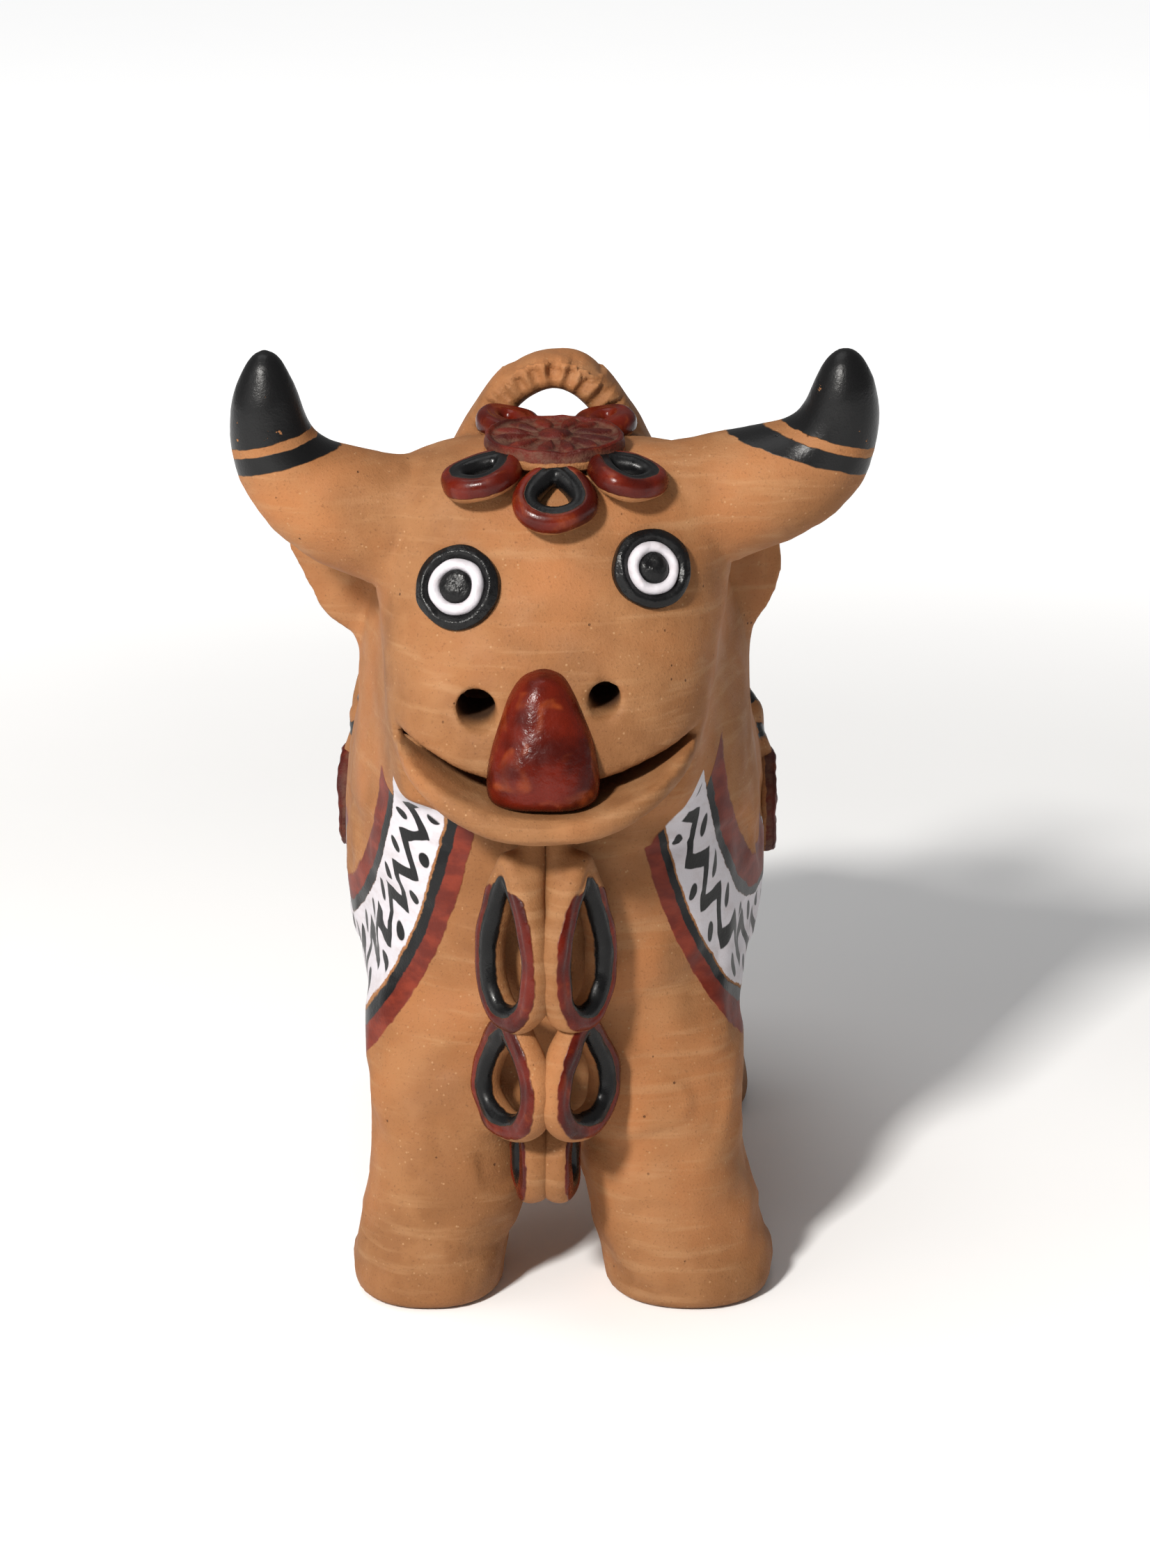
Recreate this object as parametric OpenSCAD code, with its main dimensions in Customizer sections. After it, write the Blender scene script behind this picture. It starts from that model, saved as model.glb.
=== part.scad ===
// Hand-built clay bull, a hollow vessel on four stump legs, with luted-on ornaments.
// It faces -Y and stands on the XY plane; the origin is the bottom centre of its box.

/* [Trunk] */
// Width of the trunk across the flanks
trunk_w = 84.5; // [72:0.5:104]
// Length of the trunk from the chest to the rump
trunk_l = 136; // [116:1:164]
// Height of the back above the ground
back_z = 119; // [108:1:128]
// Height of the belly above the ground
belly_z = 33; // [26:1:38]
// Width of the chest and neck
chest_w = 80.5; // [68:1:96]
// Height of the top of the neck
neck_z = 152; // [146:1:156]
// Wall of the hollow trunk and head
wall = 6; // [4:0.5:8]

/* [Head] */
// Width of the head at the horns
head_w = 65; // [56:1:76]
// Height of the top of the head
head_z = 161.5; // [158:0.5:168]
// Height of the lower edge of the upper lip
lip_z = 105.5; // [104:0.5:108]
// How far the corners of the mouth rise above its middle
smile = 7; // [4:0.5:9]
// Sideways lean of the muzzle
muzzle_lean = -2.4; // [-4:0.2:4]
// Tilt of the features across the face, in degrees
face_tilt = 5; // [0:0.5:7]
// Thickness of the lower jaw
jaw_t = 5; // [4:0.5:6]
// How far the lower jaw stands out in front of the upper lip
jaw_reach = 10.5; // [8:0.5:12]
// Open height of the mouth at its middle
mouth_gap = 3; // [2:0.2:4]
// Width of the tongue
tongue_w = 20; // [15:0.5:24]
// Thickness of the tongue
tongue_t = 6; // [4:0.5:8]
// Diameter of the nostrils
nostril_d = 6.6; // [4:0.2:9]
// Distance between the nostrils
nostril_gap = 22.6; // [21.6:0.2:28]

/* [Eyes] */
// Diameter of the black eye ring
eye_d = 15.4; // [12:0.2:18]
// Diameter of the white of the eye
eye_white_d = 10.2; // [8:0.2:11]
// Diameter of the pupil
pupil_d = 6; // [4:0.2:7]
// Size of the right eye against the left one
right_eye = 0.93; // [0.85:0.01:1.1]
// Distance between the eyes
eye_gap = 34.4; // [28:0.2:38]
// Height of the eyes above the ground
eye_z = 141; // [138:0.5:146]

/* [Horns and ears] */
// Height of the horn tips, which is the height of the figure
horn_z = 179.5; // [172:0.5:190]
// Distance between the horn tips
horn_span = 104; // [92:1:120]
// Diameter of a horn at its root
horn_d = 26; // [20:0.5:28]
// Distance of an ear's foot from the middle of the neck
ear_foot = 33; // [29:0.5:36]
// Length of an ear
ear_l = 29; // [22:0.5:34]
// Width of an ear
ear_w = 17; // [12:0.5:20]
// Thickness of an ear
ear_t = 5; // [4:0.5:7]

/* [Legs] */
// Width of a foot
foot_w = 32.6; // [26:0.2:36]
// How much narrower the left feet are
left_foot_trim = 3; // [0:0.2:5]
// Distance between the middles of two feet side by side
stance_w = 51; // [46:1:58]
// Distance between the middles of the front and rear feet
stance_l = 89; // [78:1:96]
// Wall of a hollow leg
leg_wall = 7; // [5:0.5:10]

/* [Handle] */
// Height of the top of the handle
handle_z = 174; // [168:0.5:180]
// Width of the handle between the outer sides of its feet
handle_w = 54; // [44:1:58]
// Thickness of the strap
handle_t = 7; // [4:0.5:8]
// Depth of the strap
handle_d = 15.5; // [10:0.5:17]

/* [Ornaments] */
// Diameter of the rosette on the forehead
crown_d = 25.6; // [20:0.2:28]
// Diameter of the rosettes on the flanks
flank_d = 21.5; // [16:0.5:28]
// Thickness of a rosette's disc
rosette_t = 2.4; // [2:0.2:4]
// Height of a rosette's petals above its disc
petal_h = 0.8; // [0.4:0.1:1.5]
// Number of petals on a rosette
petal_n = 12; // [8:1:16]
// Length of a forehead loop
brow_loop_l = 16.5; // [13:0.5:18]
// Thickness of the coil in a forehead loop
brow_coil = 4.4; // [3:0.2:5]
// Thickness of the coil in a chest loop
chest_coil = 5.4; // [3.8:0.2:6]
// Width of the coil in a chest loop
chest_coil_w = 5.6; // [4:0.2:7]
// Thickness of the notched strip over the back
strip_t = 2.4; // [1.6:0.2:4]
// Width of the notched strip over the back
strip_w = 8; // [5:0.5:12]
// Thickness of the tail
tail_d = 7; // [5:0.5:9]

/* [Fits] */
// Gap left round a disc set in its seat
seat_gap = 0.1; // [0.05:0.05:0.3]
// Depth by which a luted piece is bedded into its neighbour before it is trimmed to it
bed = 1.2; // [0.8:0.2:2]

/* [Hidden] */

clay = [0.80, 0.58, 0.40];
clay_warm = [0.84, 0.52, 0.33];
oxblood = [0.45, 0.13, 0.08];
black = [0.08, 0.08, 0.09];
white = [0.92, 0.90, 0.94];

LEFT = -1;
RIGHT = 1;
FRONT = -1;
REAR = 1;
form_sides = 28;
core_sides = 18;
far = 400;
eps = 0.01;

// The trunk sits back by this much, because the jaw stands out further than the tail
trunk_mid = 8.5;
rump_y = trunk_mid + trunk_l / 2;
chest_y = trunk_mid - trunk_l / 2;

// ---- Curves and rings -------------------------------------------------------------

// Smooth curve through the rows of a list, with a few rows between each two
function blend4(a, b, c, d, u) =
    0.5 * (2 * b + (c - a) * u + (2 * a - 5 * b + 4 * c - d) * u * u + (3 * b - a - 3 * c + d) * pow(u, 3));
function row(rows, i) = rows[max(0, min(len(rows) - 1, i))];
function smooth_rows(rows, steps) = concat(
    [for (i = [0:len(rows) - 2]) for (k = [0:steps - 1])
        blend4(row(rows, i - 1), row(rows, i), row(rows, i + 1), row(rows, i + 2), k / steps)],
    [rows[len(rows) - 1]]);

// Superellipse of half-widths a and b: exponent 2 is an ellipse, more is squarer
function power(v, e) = sign(v) * pow(abs(v), e);
function squircle(a, b, e, sides) = [for (i = [0:sides - 1])
    [a * power(cos(360 * i / sides), 2 / e), b * power(sin(360 * i / sides), 2 / e)]];

// Closed solid through rings that all have the same number of points
module skin(rings) {
    sides = len(rings[0]);
    last = len(rings) - 1;
    mean = function (ring) [for (k = [0:2]) ([for (p = ring) 1] * [for (p = ring) p[k]]) / sides];
    points = concat([for (ring = rings) each ring], [mean(rings[0]), mean(rings[last])]);
    walls = [for (j = [0:last - 1]) for (i = [0:sides - 1]) each [
        [j * sides + i, j * sides + (i + 1) % sides, (j + 1) * sides + i],
        [j * sides + (i + 1) % sides, (j + 1) * sides + (i + 1) % sides, (j + 1) * sides + i]]];
    start = [for (i = [0:sides - 1]) [len(points) - 2, (i + 1) % sides, i]];
    end = [for (i = [0:sides - 1]) [len(points) - 1, last * sides + i, last * sides + (i + 1) % sides]];
    polyhedron(points, [for (f = concat(walls, start, end)) [f[0], f[2], f[1]]]);
}

// Solid of rings that lie flat; a row holds z, front y, rear y, half-width and middle x
module upright(rows, e, inset, sides, steps = 2) {
    skin([for (r = smooth_rows(rows, steps))
        let (half_y = max(0.3, (r[2] - r[1]) / 2 - inset), half_x = max(0.3, r[3] - inset))
        [for (p = squircle(half_x, half_y, e, sides)) [p.x + r[4], p.y + (r[1] + r[2]) / 2, r[0]]]]);
}

// Solid of rings that stand across Y; a row holds y, lowest z, highest z and half-width
module lengthwise(rows, e, inset, sides, steps = 2) {
    skin([for (r = smooth_rows(rows, steps))
        let (half_z = max(0.3, (r[2] - r[1]) / 2 - inset), half_x = max(0.3, r[3] - inset))
        [for (p = squircle(half_x, half_z, e, sides)) [-p.x, r[0], p.y + (r[1] + r[2]) / 2]]]);
}

// Rows that are left when a solid is drawn in at both ends
function core_rows(rows, inset) = [for (r = rows) if (r[0] > rows[0][0] + inset
    && r[0] < rows[len(rows) - 1][0] - inset) r];

function unit(v) = v / norm(v);
// Bar along a path; a row holds x, y, z, half-thickness and half-width.
// The half-width lies along "side" and the half-thickness across it. The last ring
// stands square to end_run, where that is given.
module strap(rows, side, e, sides, end_run = undef) {
    last = len(rows) - 1;
    at = function (i) let (r = rows[i]) [r[0], r[1], r[2]];
    skin([for (i = [0:last])
        let (
            run = i == last && end_run != undef ? end_run
                : unit(at(min(last, i + 1)) - at(max(0, i - 1))),
            out = unit(cross(side, run)),
            broad = unit(cross(run, out)))
        [for (p = squircle(rows[i][3], rows[i][4], e, sides)) at(i) + out * p.x + broad * p.y]]);
}

// Freely modelled clay: its children become one smooth-faced mesh
module freeform() resize([0, 0, 0]) children();

// Turns +Z to point along n, at p
module aim(p, n) translate(p) rotate([0, acos(n.z / norm(n)), atan2(n.y, n.x)]) children();

// ---- Where things sit -------------------------------------------------------------

// One column of a smoothed list, against its station
function column(rows, k) = [for (r = smooth_rows(rows, 4)) [r[0], r[k]]];

chest_e = 2.35;
barrel_e = 2.5;
head_e = 2.5;

// Chest and neck: z, front y, rear y, half-width, middle x
chest_rows = [for (r = [
    [0.00, 0.20, 1.02, 0.52], [0.05, 0.05, 1.08, 0.80], [0.15, 0.01, 1.12, 0.92],
    [0.27, 0.00, 1.15, 0.98], [0.40, 0.00, 1.16, 1.00], [0.52, 0.02, 1.16, 1.00],
    [0.63, 0.06, 1.13, 0.985], [0.73, 0.13, 1.04, 0.95], [0.83, 0.22, 0.92, 0.86],
    [0.91, 0.30, 0.80, 0.72], [0.975, 0.39, 0.67, 0.50], [1.00, 0.46, 0.56, 0.22]])
    [belly_z + r[0] * (neck_z - belly_z), chest_y + r[1] * 80, chest_y + r[2] * 80,
     r[3] * chest_w / 2, 0]];

// Barrel: y, lowest z, highest z, half-width
barrel_rows = [for (r = [
    [0.13, 0.12, 0.90, 0.66], [0.23, 0.04, 0.96, 0.88], [0.36, 0.00, 0.99, 0.97],
    [0.50, 0.00, 1.00, 1.00], [0.65, 0.01, 0.98, 0.985], [0.78, 0.04, 0.94, 0.93],
    [0.88, 0.10, 0.87, 0.83], [0.95, 0.20, 0.77, 0.63], [0.985, 0.31, 0.65, 0.39],
    [1.00, 0.41, 0.55, 0.16]])
    [chest_y + r[0] * trunk_l, belly_z + r[1] * (back_z - belly_z),
     belly_z + r[2] * (back_z - belly_z), r[3] * trunk_w / 2]];

// Head: z, front y, rear y, half-width, middle x
muzzle_y = chest_y - 10;
head_floor = lip_z - 7;
head_rows = [for (r = [
    [0.00, 3.5, 47, 0.81], [0.11, 0.4, 48, 0.85], [0.24, 0.2, 51, 0.895], [0.37, 2.0, 54, 0.93],
    [0.50, 5.0, 57, 0.965], [0.62, 8.5, 59, 0.99], [0.74, 12, 59, 1.00], [0.85, 15.5, 57, 0.96],
    [0.93, 19.5, 53, 0.84], [0.98, 25.5, 47, 0.60], [1.00, 31.5, 41, 0.25]])
    [head_floor + r[0] * (head_z - head_floor), muzzle_y + r[1], muzzle_y + r[2], r[3] * head_w / 2,
     muzzle_lean * pow(1 - r[0], 2)]];

// Front surface of the head, and its outward direction
head_front = column(head_rows, 1);
head_rear = column(head_rows, 2);
head_half = column(head_rows, 3);
head_mid = column(head_rows, 4);
function face_y(x, z) = let (front = lookup(z, head_front), rear = lookup(z, head_rear))
    (front + rear) / 2 - (rear - front) / 2
    * pow(max(0, 1 - pow(abs(x - lookup(z, head_mid)) / lookup(z, head_half), head_e)), 1 / head_e);
function face_point(x, z) = [x, face_y(x, z), z];
function face_out(x, z, d = 1.5) = unit([
    face_y(x + d, z) - face_y(x - d, z), -2 * d, face_y(x, z + d) - face_y(x, z - d)]);

// Surface of barrel and chest together, met by a ray from inside
barrel_low = column(barrel_rows, 1);
barrel_high = column(barrel_rows, 2);
barrel_half = column(barrel_rows, 3);
chest_front = column(chest_rows, 1);
chest_rear = column(chest_rows, 2);
chest_half = column(chest_rows, 3);
function in_oval(a, b, half_a, half_b, e) = pow(abs(a) / half_a, e) + pow(abs(b) / half_b, e) < 1;
function in_barrel(p) = let (low = lookup(p.y, barrel_low), high = lookup(p.y, barrel_high))
    p.y > barrel_rows[0][0] && p.y < rump_y
    && in_oval(p.x, p.z - (low + high) / 2, lookup(p.y, barrel_half), (high - low) / 2, barrel_e);
function in_chest(p) = let (front = lookup(p.z, chest_front), rear = lookup(p.z, chest_rear))
    p.z > belly_z && p.z < neck_z
    && in_oval(p.x, p.y - (front + rear) / 2, lookup(p.z, chest_half), (rear - front) / 2, chest_e);
function reach(o, d, low, high, n) = let (m = (low + high) / 2) n == 0 ? m
    : in_barrel(o + d * m) || in_chest(o + d * m) ? reach(o, d, m, high, n - 1) : reach(o, d, low, m, n - 1);
function body_point(o, d) = o + d * reach(o, d, 0, 110, 14);
function flank_point(y, z) = body_point([0, y, z], [1, 0, 0]);
function flank_out(y, z, d = 2) = unit([2 * d,
    flank_point(y - d, z).x - flank_point(y + d, z).x, flank_point(y, z - d).x - flank_point(y, z + d).x]);

// A place on the face, with the muzzle's lean and the features' tilt
function face_x(x, z) = x + muzzle_lean * max(0, eye_z - z) / 20;
function face_z(x, z) = z + x * tan(face_tilt);

// ---- Forms of the hollow body -----------------------------------------------------

module chest_form(inset = 0, sides = form_sides) {
    upright(inset == 0 ? chest_rows : core_rows(chest_rows, inset), chest_e, inset, sides);
}

module barrel_form(inset = 0, sides = form_sides) {
    lengthwise(inset == 0 ? barrel_rows : core_rows(barrel_rows, inset), barrel_e, inset, sides);
}

module head_form(inset = 0, sides = form_sides) {
    upright(inset == 0 ? head_rows : core_rows(head_rows, inset), head_e, inset, sides);
}

module trunk_form() {
    barrel_form();
    chest_form();
}

// One hollow runs through the barrel, the neck and the head
module hollow() {
    barrel_form(wall, core_sides);
    chest_form(wall, core_sides);
    head_form(wall, core_sides);
}

// The mouth is cut back to here; behind it the cheeks join the neck
mouth_y = chest_y + 4;
jaw_mid = muzzle_lean * 0.7;

// Everything in front of the cheeks and under the curved edge of the upper lip
module under_lip(drop = 0) {
    half = head_w / 2 + 12;
    steps = 10;
    edge = [for (i = [-steps:steps]) let (x = half * i / steps)
        [x, lip_z - drop + smile * pow(x / (head_w * 0.39), 2)]];
    translate([jaw_mid, mouth_y, 0])
        rotate([90, 0, 0]) linear_extrude(far)
            polygon(concat([[-half, -far]], edge, [[half, -far]]));
}

// ---- Trunk and head ---------------------------------------------------------------

// The right rosette sits further forward and a little higher than the left one
function flank_y(side) = chest_y + (side == RIGHT ? 0.504 : 0.643) * trunk_l;
function flank_z(side) = side == RIGHT ? 79 : 74;
flank_sink = flank_d * flank_d / 330;

module flank_place(side) {
    y = flank_y(side);
    z = flank_z(side);
    mirror([side == LEFT ? 1 : 0, 0, 0])
        aim(flank_point(y, z) - flank_out(y, z) * flank_sink, flank_out(y, z)) children();
}

module flank_seat(side) {
    flank_place(side) cylinder(h = 12, d = flank_d + 2 * seat_gap, $fn = 40);
}

module trunk() {
    color(clay) freeform() difference() {
        trunk_form();
        head_solid();
        hollow();
        for (side = [LEFT, RIGHT]) flank_seat(side);
    }
}

// The head's outer form, cut off along the upper lip in front of the neck
module head_solid() {
    difference() {
        head_form();
        under_lip();
    }
}

function eye_size(side) = side == RIGHT ? right_eye : 1;
eye_sink = eye_d * eye_d / 260;
function eye_x(side) = face_x(side * eye_gap / 2, eye_z);
function eye_height(side) = face_z(side * eye_gap / 2, eye_z);
function eye_out(side) = face_out(eye_x(side), eye_height(side));
function eye_floor(side) = face_point(eye_x(side), eye_height(side)) - eye_out(side) * eye_sink;

nostril_z = 120;
function nostril_point(side) = face_point(
    face_x(side * nostril_gap / 2, nostril_z), face_z(side * nostril_gap / 2, nostril_z));

crown_y = chest_y + 20.5;
crown_floor = head_z - 1.8;
crown_lean = 4;

module crown_place() translate([0, crown_y, crown_floor]) rotate([crown_lean, 0, 0]) children();

module head() {
    color(clay) freeform() difference() {
        head_solid();
        hollow();
        for (side = [LEFT, RIGHT]) {
            aim(eye_floor(side), eye_out(side))
                cylinder(h = 12, d = eye_d * eye_size(side) + 2 * seat_gap, $fn = 40);
            aim(nostril_point(side), [0, 1, 0.15])
                cylinder(h = 4 * wall, d = nostril_d, center = true, $fn = 24);
        }
        crown_place() cylinder(h = 12, d = crown_d + 2 * seat_gap, $fn = 48);
    }
}

// ---- Mouth ------------------------------------------------------------------------

jaw_front = muzzle_y - jaw_reach;
jaw_rear = mouth_y + 30;
jaw_half = head_w * 0.42;

module jaw_form() {
    outline = [for (p = squircle(jaw_half, (jaw_rear - jaw_front) / 2, 2.3, 40))
        [p.x + jaw_mid, p.y + (jaw_front + jaw_rear) / 2]];
    intersection() {
        difference() {
            under_lip(mouth_gap);
            under_lip(mouth_gap + jaw_t);
        }
        linear_extrude(far) polygon(outline);
    }
}

module lower_jaw() {
    color(clay) freeform() difference() {
        jaw_form();
        trunk_form();
        head_solid();
    }
}

// The tongue rises from the jaw and lies over the lip, up to between the nostrils
tongue_top = nostril_z + 7;
tongue_floor = lip_z - mouth_gap;
tongue_rows = [for (r = [
    [0.00, 0.86, 1.22], [0.10, 0.98, 1.28], [0.25, 1.00, 1.20], [0.45, 0.90, 1.05],
    [0.65, 0.75, 0.95], [0.82, 0.58, 0.88], [0.94, 0.38, 0.74], [1.00, 0.14, 0.50]])
    let (z = tongue_floor + r[0] * (tongue_top - tongue_floor))
    [z, face_y(jaw_mid, z) - r[2] * tongue_t, muzzle_y + 10 + 8 * r[0],
     r[1] * tongue_w / 2, jaw_mid - 0.4]];

module tongue() {
    color(oxblood) freeform() difference() {
        upright(tongue_rows, 2.4, 0, 20);
        head_solid();
        jaw_form();
    }
}

// ---- Horns and ears ---------------------------------------------------------------

horn_y = chest_y + 22.5;
// Along the horn: share of reach, share of rise, forward lean, share of thickness
horn_plan = [
    [0.40, 0.00, 0, 1.00], [0.577, 0.08, 0, 0.96], [0.73, 0.155, 0.5, 0.89], [0.856, 0.25, 1, 0.79],
    [0.942, 0.39, 2, 0.68], [0.985, 0.555, 3, 0.58], [0.998, 0.71, 4, 0.48], [1.00, 0.84, 4.6, 0.37],
    [1.00, 0.94, 5, 0.24], [1.00, 0.985, 5, 0.13], [1.00, 1.00, 5, 0.02]];
horn_root_z = 146.4;
horn_droop = 2.4;

module horn_form(side) {
    root_z = horn_root_z + side * horn_droop;
    rows = [for (r = horn_plan)
        [side * r[0] * horn_span / 2, horn_y - r[2], root_z + r[1] * (horn_z - root_z),
         r[3] * horn_d / 2, r[3] * horn_d / 2]];
    strap(smooth_rows(rows, 2), [0, -1, 0], 2, 14);
}

module horn(side) {
    color(clay) freeform() difference() {
        horn_form(side);
        head_solid();
        trunk_form();
    }
}

ear_y = chest_y + 45.5;
ear_floor = 118;
// The left ear stands out further than the right one
function ear_spread(side) = side == LEFT ? 0.55 : 0.18;

module ear_form(side) {
    rows = [for (r = [[0.00, 0.16], [0.09, 0.50], [0.28, 0.86], [0.50, 1.00], [0.72, 0.88],
        [0.90, 0.58], [1.00, 0.16]])
        [side * (ear_foot + ear_spread(side) * r[0] * ear_l), ear_y, ear_floor + r[0] * ear_l,
         max(0.5, r[1]) * ear_t / 2, r[1] * ear_w / 2]];
    strap(smooth_rows(rows, 2), [1, 0, 0], 2.2, 16);
}

module ear(side) {
    color(clay_warm) freeform() difference() {
        ear_form(side);
        trunk_form();
        head_solid();
        horn_form(side);
    }
}

// ---- Eyes -------------------------------------------------------------------------

eye_ring_h = 2.4;
eye_white_h = 3;
pupil_h = 3.4;
pupil_dome = 0.9;

// Ring with a rounded top, between two diameters
module round_ring(outer, inner, h) {
    middle = (outer + inner) / 4;
    half = (outer - inner) / 4;
    rotate_extrude($fn = 48) union() {
        translate([middle - half, 0]) square([2 * half, h - half * 0.6]);
        translate([middle, h - half * 0.6]) intersection() {
            scale([1, 0.6]) circle(r = half, $fn = 32);
            translate([-half, 0]) square([2 * half, half]);
        }
    }
}

module eye_ring(side) {
    color(black) aim(eye_floor(side), eye_out(side))
        round_ring(eye_d * eye_size(side), eye_white_d * eye_size(side) + 2 * seat_gap, eye_ring_h);
}

module eye_white(side) {
    color(white) aim(eye_floor(side), eye_out(side))
        round_ring(eye_white_d * eye_size(side), pupil_d * eye_size(side) + 2 * seat_gap, eye_white_h);
}

module eye_pupil(side) {
    d = pupil_d * eye_size(side);
    ball = (d * d / 4 + pupil_dome * pupil_dome) / (2 * pupil_dome);
    color(black) aim(eye_floor(side), eye_out(side)) intersection() {
        cylinder(h = pupil_h, d = d, $fn = 40);
        translate([0, 0, pupil_h - ball]) sphere(r = ball, $fn = 64);
    }
}

// ---- Rosettes ---------------------------------------------------------------------

rim_w = 1.3;
button_share = 0.26;

// Outline of one petal between two radii
function petal_outline(inner, outer, half) = [for (t = [0:30:330])
    [(inner + outer) / 2 + (outer - inner) / 2 * cos(t), half * sin(t) * (1 + 0.35 * cos(t))]];

module rosette(d) {
    inner = d / 2 * button_share + 0.5;
    outer = d / 2 - rim_w - 0.4;
    half = PI * (inner + outer) / 2 / petal_n * 0.72;
    cylinder(h = rosette_t, d = d, $fn = 64);
    difference() {
        cylinder(h = rosette_t + petal_h, d = d, $fn = 64);
        translate([0, 0, -eps]) cylinder(h = rosette_t + petal_h + 1, d = d - 2 * rim_w, $fn = 64);
    }
    cylinder(h = rosette_t + 1.6 * petal_h, d = d * button_share, $fn = 32);
    for (i = [0:petal_n - 1]) rotate(360 * i / petal_n)
        linear_extrude(rosette_t + petal_h) polygon(petal_outline(inner, outer, half));
}

module forehead_rosette() {
    color(oxblood) crown_place() rosette(crown_d);
}

module flank_rosette(side) {
    color(oxblood) flank_place(side) rosette(flank_d);
}

// ---- Pinched coil loops -----------------------------------------------------------

// Drop-shaped loop that hangs from the origin along -Y: two bent halves, pinched together
drop_peak = 0.787;
pinch_t = 20;

module coil_loop(l, w, coil, coil_w, steps, sides) {
    half = [for (i = [0:steps]) let (t = pinch_t + (180 - pinch_t) * i / steps)
        [(w - coil) / 2 / drop_peak * sin(t) * pow(sin(t / 2), 0.9),
         -coil / 2 - (l - coil) / 2 * (1 - cos(t)), 0, coil / 2, coil_w / 2]];
    for (side = [0, 1]) mirror([side, 0, 0]) strap(half, [0, 0, 1], 2.6, sides, [-1, 0, 0]);
}

// Forehead loops: turn round the crown, lean of the loop's plane, width, lift
brow_plan = [[-49, 17, 14.5, 1], [0, 36, 15, 0.6], [48, 16, 14.5, 1],
    [-148, -13, 11.5, 1.1], [146, -14, 11.5, 1.1]];
// Distance of the loops' roots from the middle of the crown, under its disc
brow_root = 8.4;

module brow_loop_form(i) {
    plan = brow_plan[i];
    translate([0, crown_y, crown_floor + plan[3]]) rotate([0, 0, plan[0]])
        translate([0, -brow_root, 0]) rotate([plan[1], 0, 0])
            coil_loop(brow_loop_l, plan[2], brow_coil, brow_coil, 9, 8);
}

module forehead_loop(i) {
    color(oxblood) freeform() difference() {
        brow_loop_form(i);
        head_solid();
        trunk_form();
        handle_form();
        for (side = [LEFT, RIGHT]) horn_form(side);
        crown_place() translate([0, 0, -1]) cylinder(h = 14, d = crown_d + 2 * seat_gap, $fn = 40);
        if (i != 1) brow_loop_form(1);
    }
}

// Chest loops in pairs: top z, length, width, turn of the painted face to the front, depth of bed
chest_plan = [[93, 34, 17.5, 40, 1], [68, 30, 19, 38, 1], [45.5, 22, 14, 12, 3.5]];
chest_lean = 5;
dewlap_x = jaw_mid;

module chest_loop_form(level, side) {
    plan = chest_plan[level];
    forward = cos(plan[3]) * plan[2] / 2;
    aside = sin(plan[3]) * (plan[2] - chest_coil) / 2 + cos(plan[3]) * chest_coil_w * 0.45;
    translate([dewlap_x + side * aside, chest_y + plan[4] * bed - forward, plan[0]])
        rotate([-chest_lean, 0, 0]) rotate([0, 0, side * (90 - plan[3])]) rotate([90, 0, 0])
            coil_loop(plan[1], plan[2], chest_coil, chest_coil_w, 11, 8);
}

module beyond_midline(side) {
    translate([dewlap_x - side * far / 2, 0, 0]) cube(far, center = true);
}

module chest_loop(level, side) {
    color(oxblood) freeform() difference() {
        chest_loop_form(level, side);
        trunk_form();
        jaw_form();
        head_solid();
        beyond_midline(side);
        if (level > 0) chest_loop_form(level - 1, side);
        leg_form(FRONT, side);
    }
}

// ---- Handle, strip and tail -------------------------------------------------------

handle_y = chest_y + 48;
handle_mid = -0.4;

// Half of the arch: share of half-width, share of rise
module handle_form() {
    foot_z = neck_z - 14;
    top = handle_z - handle_t / 2;
    arch = [[1.10, -0.04], [0.94, 0.16], [0.74, 0.42], [0.53, 0.70], [0.29, 0.92]];
    left = [for (r = arch) [-r[0], r[1]]];
    right = [for (i = [len(arch) - 1:-1:0]) arch[i]];
    rows = [for (r = concat(left, [[0, 1]], right))
        [handle_mid + r[0] * (handle_w - handle_t) / 2, handle_y, foot_z + r[1] * (top - foot_z),
         handle_t / 2, handle_d / 2]];
    strap(smooth_rows(rows, 3), [0, -1, 0], 3, 14);
}

module handle() {
    color(clay) freeform() difference() {
        handle_form();
        trunk_form();
        head_solid();
        for (side = [LEFT, RIGHT]) horn_form(side);
        for (side = [LEFT, RIGHT]) ear_form(side);
    }
}

// Notched strip slung over the back from one flank rosette to the other
strip_top_y = chest_y + 0.68 * trunk_l;
strip_core_z = 76;
strip_steps = 30;
// Angle above the horizontal at which the strip ends, seen from the barrel's middle
function strip_end(side) = let (z = flank_z(side) + flank_d / 2 + seat_gap)
    atan2(z - strip_core_z, flank_point(flank_y(side), z).x);

module back_strip() {
    right = strip_end(RIGHT);
    left = 180 - strip_end(LEFT);
    rows = [for (i = [0:strip_steps])
        let (
            t = right + (left - right) * i / strip_steps,
            foot_y = flank_y(cos(t) > 0 ? RIGHT : LEFT),
            foot_turn = cos(t) > 0 ? right : left,
            y = strip_top_y + (foot_y - strip_top_y) * pow(cos(t) / cos(foot_turn), 2),
            p = body_point([0, y, strip_core_z], [cos(t), 0, sin(t)]))
        [p.x, p.y, p.z, strip_t * (i % 2 == 0 ? 1 : 0.6), strip_w / 2]];
    color(clay_warm) freeform() difference() {
        strap(rows, [0, -1, 0], 3, 8);
        trunk_form();
        for (side = [LEFT, RIGHT]) flank_seat(side);
    }
}

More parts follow.
